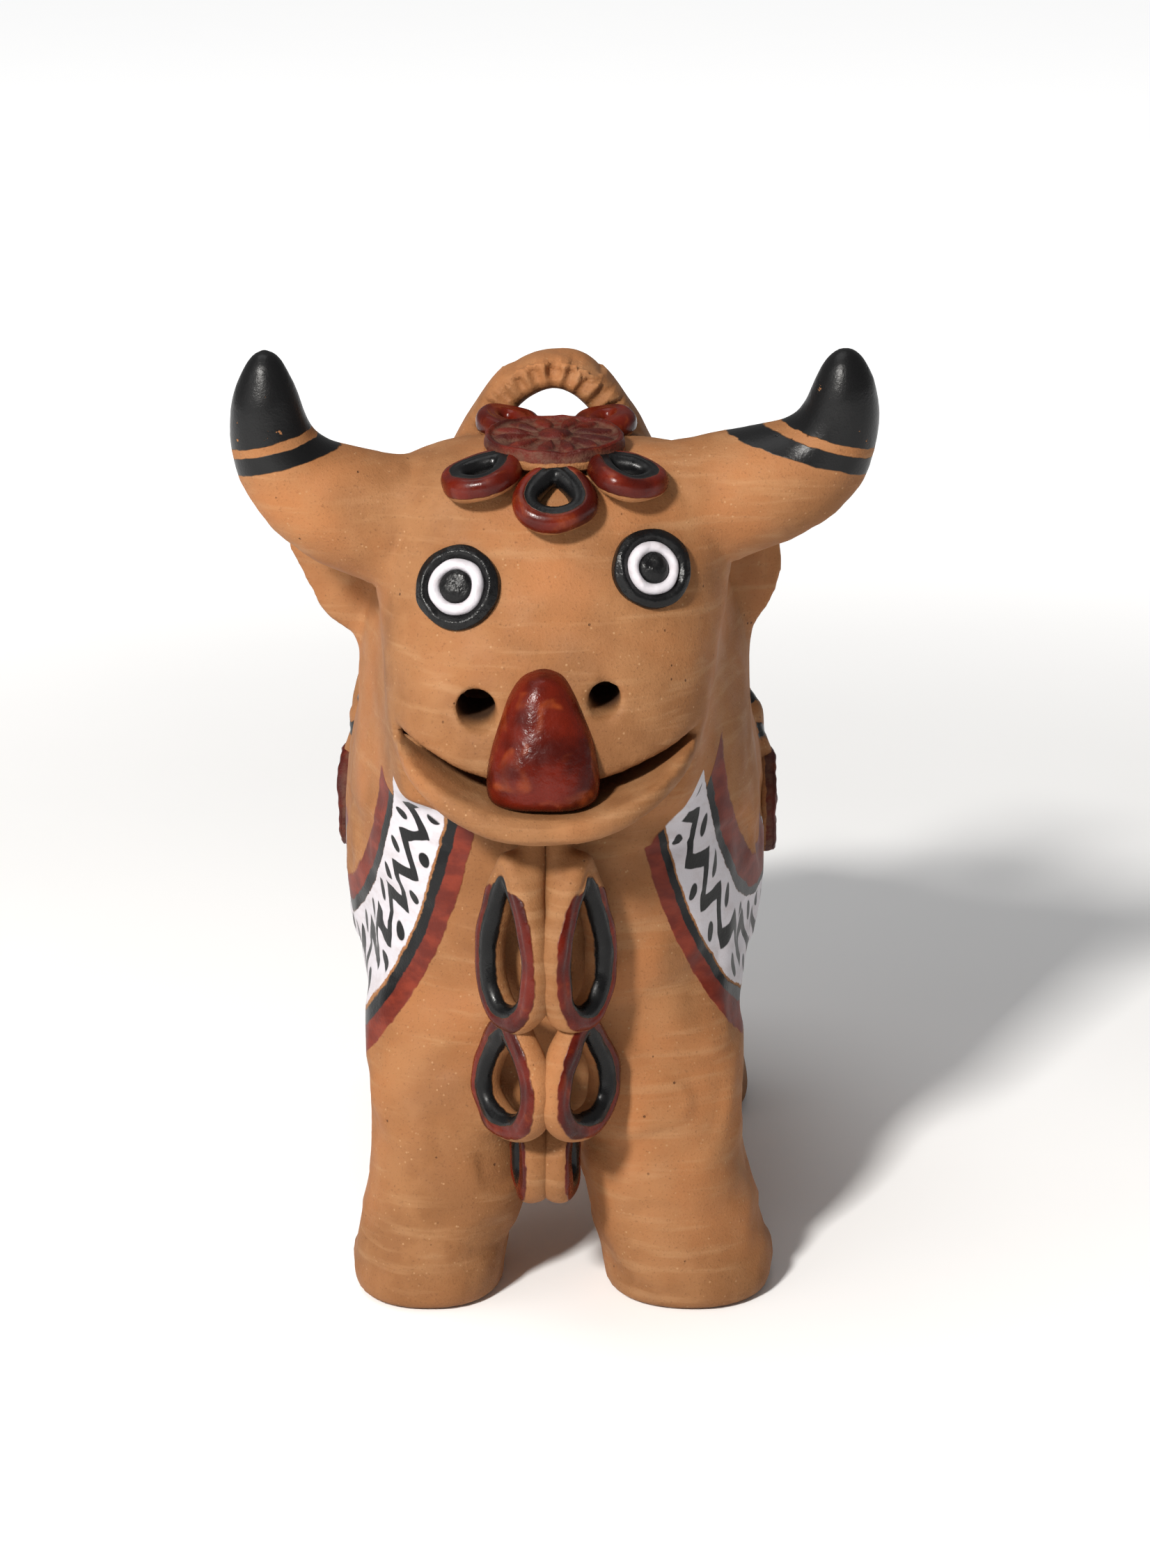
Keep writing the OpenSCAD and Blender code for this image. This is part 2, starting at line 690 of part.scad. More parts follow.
// The tail drops from the top of the rump and curls up on the left haunch.
// A row holds a direction from the middle of the barrel (turn to the left, rise) and the
// share of thickness.
tail_plan = [[0, 40, 0.9], [1, 25, 1], [7, 9, 1], [20, -5, 0.95], [37, -11, 0.9], [53, -9, 0.9],
    [66, 1, 0.95], [73, 15, 1.1], [71, 29, 1.25], [62, 38, 1.05], [54, 42, 0.3]];
tail_core = [0, chest_y + 0.65 * trunk_l, strip_core_z];

module tail() {
    rows = [for (r = smooth_rows(tail_plan, 2))
        let (p = body_point(tail_core, [-sin(r[0]) * cos(r[1]), cos(r[0]) * cos(r[1]), sin(r[1])]))
        [p.x, p.y, p.z, r[2] * tail_d / 2, r[2] * tail_d / 2]];
    color(clay) freeform() difference() {
        strap(rows, [0.2, 0.3, 1], 2, 8);
        trunk_form();
        leg_form(REAR, LEFT);
    }
}

// ---- Legs -------------------------------------------------------------------------

// Height, share of half the stance, share of foot width, share of foot length, drift to the middle
leg_plan = [
    [0, 1.00, 0.88, 0.90, 0], [1.2, 1.00, 0.96, 0.97, 0], [4, 1.00, 1.00, 1.01, 0],
    [9, 0.965, 1.00, 1.01, 0], [15, 0.89, 1.01, 0.99, 0], [22, 0.82, 0.99, 0.97, 0.2],
    [30, 0.78, 0.98, 0.95, 0.8], [40, 0.785, 0.98, 0.93, 1.8], [52, 0.80, 0.88, 0.82, 4],
    [62, 0.78, 0.60, 0.60, 7]];
foot_l = foot_w * 1.08;
trim_top = 45;
// The left legs narrow from their outer side, towards the foot
function trim(side, z) = side == LEFT ? left_foot_trim * max(0, 1 - z / trim_top) : 0;

module leg_form(end, side) {
    upright([for (r = leg_plan)
        let (
            y = end * (stance_l / 2 - r[4]),
            half_y = r[3] * foot_l / 2,
            half_x = (r[2] * foot_w - trim(side, r[0])) / 2,
            x = side * (r[1] * stance_w - trim(side, r[0])) / 2)
        [r[0] * belly_z / 33, y - half_y, y + half_y, half_x, x]],
        2.3, 0, 20, 1);
}

module leg(end, side) {
    color(clay) freeform() difference() {
        leg_form(end, side);
        trunk_form();
        translate([side * 0.42 * stance_w, end * (stance_l / 2 - 1), leg_wall])
            cylinder(h = far, d = foot_w - left_foot_trim - 2 * leg_wall, $fn = 20);
    }
}

// ---- Nodes ------------------------------------------------------------------------

trunk();
head();
lower_jaw();
tongue();
horn(LEFT);  // horn_left
horn(RIGHT);  // horn_right
ear(LEFT);  // ear_left
ear(RIGHT);  // ear_right
eye_ring(LEFT);  // eye_ring_left
eye_ring(RIGHT);  // eye_ring_right
eye_white(LEFT);  // eye_white_left
eye_white(RIGHT);  // eye_white_right
eye_pupil(LEFT);  // eye_pupil_left
eye_pupil(RIGHT);  // eye_pupil_right
handle();
forehead_rosette();
forehead_loop(0);  // forehead_loop_left
forehead_loop(1);  // forehead_loop_middle
forehead_loop(2);  // forehead_loop_right
forehead_loop(3);  // forehead_loop_back_left
forehead_loop(4);  // forehead_loop_back_right
chest_loop(0, LEFT);  // chest_loop_upper_left
chest_loop(0, RIGHT);  // chest_loop_upper_right
chest_loop(1, LEFT);  // chest_loop_middle_left
chest_loop(1, RIGHT);  // chest_loop_middle_right
chest_loop(2, LEFT);  // chest_loop_lower_left
chest_loop(2, RIGHT);  // chest_loop_lower_right
flank_rosette(LEFT);  // flank_rosette_left
flank_rosette(RIGHT);  // flank_rosette_right
back_strip();
leg(FRONT, LEFT);  // leg_front_left
leg(FRONT, RIGHT);  // leg_front_right
leg(REAR, LEFT);  // leg_rear_left
leg(REAR, RIGHT);  // leg_rear_right
tail();
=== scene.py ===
"""A clay bull of the southern Andes, built by hand: a hollow body with coils, rosettes and a
handle luted on, painted with oxblood and black glaze and a white slip.

The clay is modelled as one distance field, so that every limb runs softly into the body.
Its surface is then shared out among the CAD nodes, one piece each. Sizes are in millimetres
here and in metres in the meshes.
"""

import math

import bpy
import numpy as np
from mathutils import Matrix, Vector


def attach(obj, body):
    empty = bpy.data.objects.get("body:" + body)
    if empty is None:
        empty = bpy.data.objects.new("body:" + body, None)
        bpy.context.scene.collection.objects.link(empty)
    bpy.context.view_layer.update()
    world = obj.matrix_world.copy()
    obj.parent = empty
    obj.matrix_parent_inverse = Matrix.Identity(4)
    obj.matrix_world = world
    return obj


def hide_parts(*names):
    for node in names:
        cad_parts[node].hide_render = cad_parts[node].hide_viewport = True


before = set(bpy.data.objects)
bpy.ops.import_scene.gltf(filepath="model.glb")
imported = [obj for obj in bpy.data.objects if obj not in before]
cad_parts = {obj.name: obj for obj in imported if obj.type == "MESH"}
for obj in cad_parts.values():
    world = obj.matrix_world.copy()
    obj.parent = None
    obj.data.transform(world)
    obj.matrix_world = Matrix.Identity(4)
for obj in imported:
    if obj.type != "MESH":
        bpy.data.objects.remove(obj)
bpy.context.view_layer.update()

MM = 0.001
LEFT, RIGHT, FRONT, REAR = -1, 1, -1, 1
SIDES = {"left": LEFT, "right": RIGHT}
# Spacing of the modelled clay's surface
STEP = 1.0

# ---- Sizes --------------------------------------------------------------------------

# These are the CAD's sizes, apart from the first two. Trunk and chest are 1 and 4 mm narrower
# here, because the soft join between them adds width that the CAD's plain forms have already.
TRUNK_W, CHEST_W = 83.5, 76.5
TRUNK_L, BACK_Z, BELLY_Z, NECK_Z, RUMP_Y = 136, 119, 33, 152, 76.5
CHEST_Y = RUMP_Y - TRUNK_L
HEAD_W, HEAD_Z, LIP_Z, SMILE = 65, 161.5, 105.5, 7
MUZZLE_Y, MUZZLE_LEAN, FACE_TILT = CHEST_Y - 10, -2.4, 5
JAW_T, JAW_REACH, MOUTH_GAP = 5, 10.5, 3
TONGUE_W, TONGUE_T = 20, 6
NOSTRIL_D, NOSTRIL_GAP, NOSTRIL_Z = 6.6, 22.6, 120
RIGHT_NOSTRIL, NOSTRIL_DEEP = 0.86, 24
EYE_Z, RIGHT_EYE = 141, 0.93
HORN_Z, HORN_SPAN, HORN_D, HORN_Y = 179.5, 104, 26, CHEST_Y + 22.5
HORN_ROOT_Z, HORN_DROOP = 146.4, 2.4
EAR_FOOT, EAR_L, EAR_W, EAR_T, EAR_Y, EAR_FLOOR = 33, 29, 17, 5, CHEST_Y + 45.5, 118
EAR_SPREAD = {LEFT: 0.55, RIGHT: 0.18}
FOOT_W, FOOT_LONGER, LEFT_FOOT_TRIM, STANCE_W, STANCE_L = 32.6, 1.08, 3, 51, 89
HANDLE_Z, HANDLE_W, HANDLE_T, HANDLE_D = 174, 54, 7, 15.5
HANDLE_Y, HANDLE_MID = CHEST_Y + 48, -0.4
CROWN_D, CROWN_Y = 25.6, CHEST_Y + 20.5
CROWN_T, FLANK_T, PETALS = 3.2, 2.4, 12
BROW_LOOP_L, BROW_COIL, CHEST_COIL, CHEST_COIL_W = 16.5, 4.4, 5.4, 5.6
STRIP_T, STRIP_W, STRIP_TOP_Y, CORE_Z, TAIL_D = 2.4, 8, 33, 76, 7
FLANK_D = 21.5
HEAD_FLOOR = LIP_Z - 7
MOUTH_Y = CHEST_Y + 4
JAW_MID = MUZZLE_LEAN * 0.7
MOUTH_HALF = 25.5

# Spacing, depth, half-width and half-length of the gouges along the handle, and how far they
# reach from its middle
GOUGE_STEP, GOUGE_DEPTH, GOUGE_WIDE, GOUGE_LONG, GOUGE_REACH = 3.3, 1.5, 1.2, 3.0, 33
# Spacing of the black dabs along the notched strip
DAB_STEP = 6.6
# The horn's black cap ends this far below its tip, and the black ring lies between the others
HORN_CAP, HORN_RING = 16.2, (17.9, 21.1)

# Share of belly to neck height; front and rear as shares of CHEST_DEEP; share of half-width
CHEST_DEEP = 80
CHEST_PLAN = [
    [0.00, 0.20, 1.02, 0.52], [0.05, 0.05, 1.08, 0.80], [0.15, 0.01, 1.12, 0.92],
    [0.27, 0.00, 1.15, 0.98], [0.40, 0.00, 1.16, 1.00], [0.52, 0.02, 1.16, 1.00],
    [0.63, 0.06, 1.13, 0.985], [0.73, 0.13, 1.04, 0.95], [0.83, 0.22, 0.92, 0.86],
    [0.91, 0.30, 0.80, 0.72], [0.975, 0.39, 0.67, 0.50], [1.00, 0.46, 0.56, 0.22]]
# Share of length; lowest and highest as shares of belly to back; share of half-width
BARREL_PLAN = [
    [0.13, 0.12, 0.90, 0.66], [0.23, 0.04, 0.96, 0.88], [0.36, 0.00, 0.99, 0.97],
    [0.50, 0.00, 1.00, 1.00], [0.65, 0.01, 0.98, 0.985], [0.78, 0.04, 0.94, 0.93],
    [0.88, 0.10, 0.87, 0.83], [0.95, 0.20, 0.77, 0.63], [0.985, 0.31, 0.65, 0.39],
    [1.00, 0.41, 0.55, 0.16]]
# Share of height; front and rear from the muzzle; share of half-width
HEAD_PLAN = [
    [0.00, 3.5, 47, 0.81], [0.11, 0.4, 48, 0.85], [0.24, 0.2, 51, 0.895], [0.37, 2.0, 54, 0.93],
    [0.50, 5.0, 57, 0.965], [0.62, 8.5, 59, 0.99], [0.74, 12, 59, 1.00], [0.85, 15.5, 57, 0.96],
    [0.93, 19.5, 53, 0.84], [0.98, 25.5, 47, 0.60], [1.00, 31.5, 41, 0.25]]
# Height, share of half the stance, share of foot width, share of foot length, drift inwards.
# The first row lies under the floor, where the clay is cut off flat.
LEG_PLAN = [
    [-4, 1.00, 0.86, 0.88, 0],
    [0, 1.00, 0.92, 0.93, 0], [1.2, 1.00, 0.97, 0.98, 0], [4, 1.00, 1.00, 1.01, 0],
    [9, 0.965, 1.00, 1.01, 0], [15, 0.89, 1.01, 0.99, 0], [22, 0.82, 0.99, 0.97, 0.2],
    [30, 0.78, 0.98, 0.95, 0.8], [40, 0.785, 0.98, 0.93, 1.8], [52, 0.80, 0.88, 0.82, 4],
    [62, 0.78, 0.60, 0.60, 7]]
# Share of reach, share of rise, forward lean, share of thickness
HORN_PLAN = [
    [0.40, 0.00, 0, 0.92], [0.577, 0.08, 0, 0.90], [0.73, 0.155, 0.5, 0.86],
    [0.856, 0.25, 1, 0.77], [0.942, 0.39, 2, 0.66], [0.985, 0.555, 3, 0.56],
    [0.998, 0.71, 4, 0.465], [1.00, 0.83, 4.6, 0.35], [1.00, 0.89, 4.8, 0.26],
    [1.00, 0.935, 5, 0.15]]
# Share of length, share of width and thickness
EAR_PLAN = [
    [0.00, 0.16], [0.09, 0.50], [0.28, 0.86], [0.50, 1.00], [0.72, 0.88], [0.90, 0.58],
    [1.00, 0.16]]
# Share of half the handle's width, share of its rise
ARCH_PLAN = [[1.10, -0.04], [0.94, 0.16], [0.74, 0.42], [0.53, 0.70], [0.29, 0.92]]
# Share of height, share of width, share of thickness
TONGUE_PLAN = [
    [0.00, 0.86, 1.22], [0.10, 0.98, 1.28], [0.25, 1.00, 1.20], [0.45, 0.90, 1.05],
    [0.65, 0.75, 0.95], [0.82, 0.58, 0.88], [0.94, 0.38, 0.74], [1.00, 0.14, 0.50]]
# Turn to the left and rise seen from the middle of the barrel, share of thickness
TAIL_PLAN = [
    [0, 40, 0.9], [1, 25, 1], [7, 9, 1], [20, -5, 0.95], [37, -11, 0.9], [53, -9, 0.9],
    [66, 1, 0.95], [73, 15, 1.1], [71, 29, 1.25], [62, 38, 1.05], [54, 42, 0.3]]
# Turn round the crown, lean of the loop's plane, width, lift
BROW_PLAN = {
    "left": (-49, 17, 14.5, 1), "middle": (0, 36, 15, 0.6), "right": (48, 16, 14.5, 1),
    "back_left": (-150, -9, 11.5, 0.8), "back_right": (148, -9, 11.5, 0.8)}
# Top, length, width, turn of the painted face to the front, depth of bed
CHEST_LOOP_PLAN = {
    "upper": (93, 34, 19.5, 38, 1.2), "middle": (63.5, 25.5, 21, 37, 1.2),
    "lower": (42, 18.5, 14, 12, 4.2)}
CHEST_LEAN = 5
# A bare strand from each upper chest loop to the jaw: distance from the middle, distance in
# front of the chest, height over the loop's top, thickness
UPPER_STRAND = [
    [2.1, 9.5, -20, 2.5], [2.3, 8.6, -12, 2.5], [2.3, 6.5, -4, 2.4], [2.1, 4, 4.5, 2.4]]
# Where each flank rosette sits: along the trunk, and height
FLANK_PLACE = {LEFT: (28, 74), RIGHT: (9, 79)}

# ---- Curves and fields --------------------------------------------------------------


def smooth_rows(rows, steps=6):
    """Smooth curve through the rows of a list."""
    rows = np.array(rows, float)
    padded = np.vstack([rows[:1], rows, rows[-1:]])
    u = (np.arange(steps) / steps)[:, None]
    out = []
    for i in range(len(rows) - 1):
        a, b, c, d = padded[i:i + 4]
        out.append(0.5 * (2 * b + (c - a) * u + (2 * a - 5 * b + 4 * c - d) * u ** 2
                          + (3 * b - a - 3 * c + d) * u ** 3))
    return np.vstack(out + [rows[-1:]])


def smooth_min(a, b, k):
    """The lower of two fields, with a soft fillet about k wide where they meet."""
    h = np.maximum(k - np.abs(a - b), 0) / k
    return np.minimum(a, b) - h * h * k / 4


def smooth_max(a, b, k):
    return -smooth_min(-a, -b, k)


class Grid:
    """A box of evenly spaced sample points."""

    def __init__(self, low, high, step, count=None):
        self.low = np.array(low, float)
        self.step = step
        if count is None:
            count = np.ceil((np.array(high) - self.low) / step).astype(int) + 1
        self.count = count

    def axes(self):
        return np.meshgrid(
            *(self.low[k] + self.step * np.arange(self.count[k]) for k in range(3)),
            indexing="ij", sparse=True)

    def points(self):
        return np.stack(np.broadcast_arrays(*self.axes()), -1)

    def window(self, low, high):
        """The slices and the grid of the part of this one that holds a smaller box."""
        first = np.floor((np.array(low) - self.low) / self.step).astype(int)
        first = np.clip(first, 0, self.count - 2)
        last = np.ceil((np.array(high) - self.low) / self.step).astype(int) + 1
        last = np.clip(last, first + 2, self.count)
        part = Grid(self.low + first * self.step, None, self.step, last - first)
        return tuple(slice(a, b) for a, b in zip(first, last)), part

    def sample(self, values, p):
        """Values at any points, blended from the eight samples round each."""
        q = np.clip((p - self.low) / self.step, 0, self.count - 1.001)
        i = q.astype(int)
        f = q - i
        total = 0
        for corner in np.ndindex(2, 2, 2):
            weight = np.prod(np.where(corner, f, 1 - f), axis=1)
            total = total + weight * values[tuple((i + corner).T)]
        return total


def as_distance(values, step):
    """The same surface, with values that grow by about one for each millimetre."""
    slope = np.sqrt(sum(g * g for g in np.gradient(values, step)))
    return values / np.maximum(slope, 0.4)


def oval(a, b, e):
    return (np.abs(a) ** e + np.abs(b) ** e) ** (1 / e) - 1


def upright(rows, e, axes, edge=2.0):
    """Field of rings that lie flat. A row holds z, front y, rear y, half-width and middle x.
    With y and z exchanged, the rings stand across Y."""
    x, y, z = axes
    r = smooth_rows(rows)
    front, rear, half, middle = (np.interp(z, r[:, 0], r[:, k]) for k in (1, 2, 3, 4))
    depth = (rear - front) / 2
    side = oval((x - middle) / half, (y - (front + rear) / 2) / depth, e) * np.minimum(half, depth)
    return smooth_max(side, np.maximum(r[0, 0] - z, z - r[-1, 0]) + 0 * side, edge)


def unit(v):
    return v / np.maximum(np.linalg.norm(v, axis=-1, keepdims=True), 1e-9)


def strap(rows, side, e, p):
    """Field of a bar along a path, and how far along its rows the nearest point lies.
    A row holds x, y, z, half-thickness and half-width; the half-width lies along side."""
    rows = np.array(rows, float)
    best = np.full(p.shape[:-1], 1e9)
    along = np.zeros(p.shape[:-1])
    for i in range(len(rows) - 1):
        a, b = rows[i, :3], rows[i + 1, :3]
        run = b - a
        t = np.clip(((p - a) @ run) / (run @ run), 0, 1)
        off = p - a - t[..., None] * run
        out = unit(np.cross(side, unit(run)))
        broad = np.cross(unit(run), out)
        thick = rows[i, 3] + t * (rows[i + 1, 3] - rows[i, 3])
        wide = rows[i, 4] + t * (rows[i + 1, 4] - rows[i, 4])
        beyond = off @ unit(run)
        least = np.minimum(thick, wide)
        d = (((np.abs(off @ out) / thick) ** e + (np.abs(off @ broad) / wide) ** e
              + (np.abs(beyond) / least) ** e) ** (1 / e) - 1) * least
        nearer = d < best
        best = np.where(nearer, d, best)
        along = np.where(nearer, i + t, along)
    return best, along


def surface_nets(grid, values):
    """The zero surface as quads, one corner for each cell that it crosses."""
    inside = values < 0
    cells = grid.count - 1
    full = np.zeros(cells, np.int8)
    for corner in np.ndindex(2, 2, 2):
        full += inside[tuple(slice(c, c + n) for c, n in zip(corner, cells))]
    where = np.argwhere((full > 0) & (full < 8))
    index = np.full(cells, -1)
    index[tuple(where.T)] = np.arange(len(where))
    total = np.zeros((len(where), 3))
    hits = np.zeros(len(where))
    for axis in range(3):
        for p, q in np.ndindex(2, 2):
            start = np.zeros(3, int)
            start[(axis + 1) % 3] = p
            start[(axis + 2) % 3] = q
            end = start.copy()
            end[axis] = 1
            a = values[tuple((where + start).T)]
            b = values[tuple((where + end).T)]
            cut = (a < 0) != (b < 0)
            t = np.where(cut, a / np.where(cut, a - b, 1), 0)
            total += np.where(cut[:, None], start + t[:, None] * (end - start), 0)
            hits += cut
    points = grid.low + grid.step * (where + total / hits[:, None])
    quads = []
    for axis in range(3):
        one = np.eye(3, dtype=int)
        a = np.take(inside, range(grid.count[axis] - 1), axis)
        b = np.take(inside, range(1, grid.count[axis]), axis)
        edge = np.argwhere(a != b)
        edge = edge[(edge[:, (axis + 1) % 3] > 0) & (edge[:, (axis + 2) % 3] > 0)
                    & (edge[:, (axis + 1) % 3] < cells[(axis + 1) % 3])
                    & (edge[:, (axis + 2) % 3] < cells[(axis + 2) % 3])]
        u, v = one[(axis + 1) % 3], one[(axis + 2) % 3]
        ring = np.stack([index[tuple((edge - s).T)] for s in (u + v, v, 0 * u, u)], 1)
        outward = a[tuple(edge.T)]
        quads.append(np.where(outward[:, None], ring, ring[:, ::-1]))
    return points, np.vstack(quads)


def add_up(index, values, count):
    return np.stack([np.bincount(index, values[:, k], count) for k in range(values.shape[1])], 1)


def corner_normals(points, quads):
    p = points[quads]
    across = np.cross(p[:, 2] - p[:, 0], p[:, 3] - p[:, 1])
    return unit(add_up(quads.ravel(), np.repeat(across, quads.shape[1], 0), len(points)))


def relax(points, quads, grid, values, rounds=3):
    """Evens out the corners, and puts each back on the zero surface."""
    pairs = np.vstack([quads[:, [k, (k + 1) % 4]] for k in range(4)])
    pairs = np.vstack([pairs, pairs[:, ::-1]])
    share = np.maximum(np.bincount(pairs[:, 0], minlength=len(points)), 1)[:, None]
    slopes = np.gradient(values, grid.step)
    for _ in range(rounds):
        mean = add_up(pairs[:, 0], points[pairs[:, 1]], len(points)) / share
        points = points + 0.6 * (mean - points)
        for _ in range(2):
            g = np.stack([grid.sample(s, points) for s in slopes], 1)
            d = grid.sample(values, points)
            step = d / np.maximum((g * g).sum(1), 0.2)
            points = points - np.clip(step, -grid.step, grid.step)[:, None] * g
    return points


def ripple(p, size, seed, waves=12):
    """Soft uneven relief of about -1 to 1, with hills some size millimetres apart."""
    rng = np.random.default_rng(seed)
    total = np.zeros(p.shape[:-1])
    for _ in range(waves):
        way = unit(rng.normal(size=3)) * 2 * math.pi / (size * rng.uniform(0.7, 1.5))
        total += np.sin(p @ way + rng.uniform(0, 2 * math.pi))
    return total / math.sqrt(waves)


# ---- The body's rows and places -----------------------------------------------------

chest_rows = [
    [BELLY_Z + h * (NECK_Z - BELLY_Z), CHEST_Y + front * CHEST_DEEP, CHEST_Y + rear * CHEST_DEEP,
     half * CHEST_W / 2, 0]
    for h, front, rear, half in CHEST_PLAN]
barrel_rows = [
    [CHEST_Y + s * TRUNK_L, BELLY_Z + low * (BACK_Z - BELLY_Z),
     BELLY_Z + high * (BACK_Z - BELLY_Z), half * TRUNK_W / 2, 0]
    for s, low, high, half in BARREL_PLAN]
head_rows = [
    [HEAD_FLOOR + h * (HEAD_Z - HEAD_FLOOR), MUZZLE_Y + front, MUZZLE_Y + rear, half * HEAD_W / 2,
     MUZZLE_LEAN * (1 - h) ** 2]
    for h, front, rear, half in HEAD_PLAN]
head_curve = smooth_rows(head_rows)


def face_y(x, z):
    """How far back the front of the head lies."""
    front, rear, half, middle = (
        np.interp(z, head_curve[:, 0], head_curve[:, k]) for k in (1, 2, 3, 4))
    bow = max(0, 1 - abs((x - middle) / half) ** 2.5) ** (1 / 2.5)
    return (front + rear) / 2 - (rear - front) / 2 * bow


def face_point(x, z):
    """A place on the face, with the muzzle's lean and the features' tilt."""
    high = z + x * math.tan(math.radians(FACE_TILT))
    aside = x + MUZZLE_LEAN * max(0, EYE_Z - z) / 20
    return np.array([aside, face_y(aside, high), high])


def lip_height(x):
    return LIP_Z + SMILE * ((x - JAW_MID) / (HEAD_W * 0.39)) ** 2


def horn_rows(side):
    root = HORN_ROOT_Z + side * HORN_DROOP
    return smooth_rows([
        [side * reach * HORN_SPAN / 2, HORN_Y - lean, root + rise * (HORN_Z - root),
         thick * HORN_D / 2, thick * HORN_D / 2]
        for reach, rise, lean, thick in HORN_PLAN], 3)


def ear_rows(side):
    return smooth_rows([
        [side * (EAR_FOOT + EAR_SPREAD[side] * s * EAR_L), EAR_Y, EAR_FLOOR + s * EAR_L,
         max(0.5, share) * EAR_T / 2, max(0.3, share) * EAR_W / 2 - 1]
        for s, share in EAR_PLAN], 2)


def handle_rows():
    foot = NECK_Z - 14
    top = HANDLE_Z - HANDLE_T / 2
    arch = [[-s, rise] for s, rise in ARCH_PLAN] + [[0, 1]] + ARCH_PLAN[::-1]
    return smooth_rows([
        [HANDLE_MID + s * (HANDLE_W - HANDLE_T) / 2, HANDLE_Y, foot + rise * (top - foot),
         HANDLE_T / 2 * (1 + 0.5 * max(0, 0.5 - rise)), HANDLE_D / 2] for s, rise in arch], 4)


def leg_rows(end, side):
    rows = []
    for z, stance, wide, long, drift in LEG_PLAN:
        trim = LEFT_FOOT_TRIM * max(0, 1 - z / 45) if side == LEFT else 0
        y = end * (STANCE_L / 2 - drift)
        deep = long * FOOT_W * FOOT_LONGER / 2
        rows.append([z, y - deep, y + deep, (wide * FOOT_W - trim) / 2,
                     side * (stance * STANCE_W - trim) / 2])
    return rows


def leg_shape(end, side):
    rows = leg_rows(end, side)
    return lambda part: as_distance(upright(rows, 2.3, part.axes(), 2.6), part.step)


# ---- One field for all the clay -----------------------------------------------------


class Clay:
    """The body's field, and beside it the distance to each node that has a share in it."""

    def __init__(self):
        self.grid = Grid((-63, -86, -5), (63, 84, 185), STEP)
        self.axes = self.grid.axes()
        self.near = {}
        x, y, z = self.axes
        barrel = as_distance(upright(barrel_rows, 2.5, (x, z, y)), STEP)
        chest = as_distance(upright(chest_rows, 2.35, self.axes), STEP)
        self.body = smooth_min(barrel, chest, 5)
        self.near["trunk"] = (self.grid, self.body)
        self.field = self.body

    def join(self, node, low, high, shape, fillet):
        """Adds a form, given as a function of a grid, inside a box."""
        cut, part = self.grid.window(low, high)
        values = shape(part)
        self.near[node] = (part, values)
        self.field = self.field.copy()
        self.field[cut] = smooth_min(self.field[cut], values, fillet)

    def carve(self, low, high, shape, edge):
        cut, part = self.grid.window(low, high)
        self.field[cut] = smooth_max(self.field[cut], -shape(part), edge)

    def hit(self, start, way):
        """Where a ray from inside the body comes out."""
        reach = np.arange(0, 110, 0.5)
        p = np.array(start) + reach[:, None] * unit(np.array(way, float))
        d = self.grid.sample(self.body, p)
        k = int(np.argmax(d > 0))
        t = reach[k - 1] + 0.5 * d[k - 1] / (d[k - 1] - d[k])
        return np.array(start) + t * unit(np.array(way, float))


def head_shape(part):
    x, y, z = part.axes()
    head = as_distance(upright(head_rows, 2.5, (x, y, z)), part.step)
    under = np.maximum(z - lip_height(x), y - MOUTH_Y)
    return smooth_max(head, -under, 1.6)


def mouth_open(x):
    """How far the mouth is open, from side to side."""
    return MOUTH_GAP * (1 - 0.5 * (np.minimum(np.abs(x - JAW_MID), MOUTH_HALF) / MOUTH_HALF) ** 2)


def jaw_shape(part):
    x, y, z = part.axes()
    top = lip_height(x) - mouth_open(x) * np.clip((MOUTH_HALF + 3 - np.abs(x - JAW_MID)) / 3, 0, 1)
    front, rear = MUZZLE_Y - JAW_REACH, MOUTH_Y + 30
    wide, deep = HEAD_W * 0.42, (rear - front) / 2
    plan = oval((x - JAW_MID) / wide, (y - (front + rear) / 2) / deep, 2.3) * min(wide, deep)
    slab = np.abs(z - top + JAW_T / 2) - JAW_T / 2
    return smooth_max(plan + 0 * slab, slab + 0 * plan, 2.6)


def mouth_shape(part):
    x, y, z = part.axes()
    off = z - lip_height(x) + mouth_open(x) / 2
    beyond = np.maximum(np.abs(x - JAW_MID) - MOUTH_HALF, 0)
    slot = np.hypot(off, beyond) - mouth_open(x) / 2 - 0.05
    return np.maximum(slot + 0 * y, y - MOUTH_Y - 6 + 0 * slot)


def strap_shape(rows, side, e):
    return lambda part: strap(rows, side, e, part.points())[0]


def box_round(rows, margin):
    rows = np.array(rows)
    reach = rows[:, 3:5].max() + margin
    return rows[:, :3].min(0) - reach, rows[:, :3].max(0) + reach


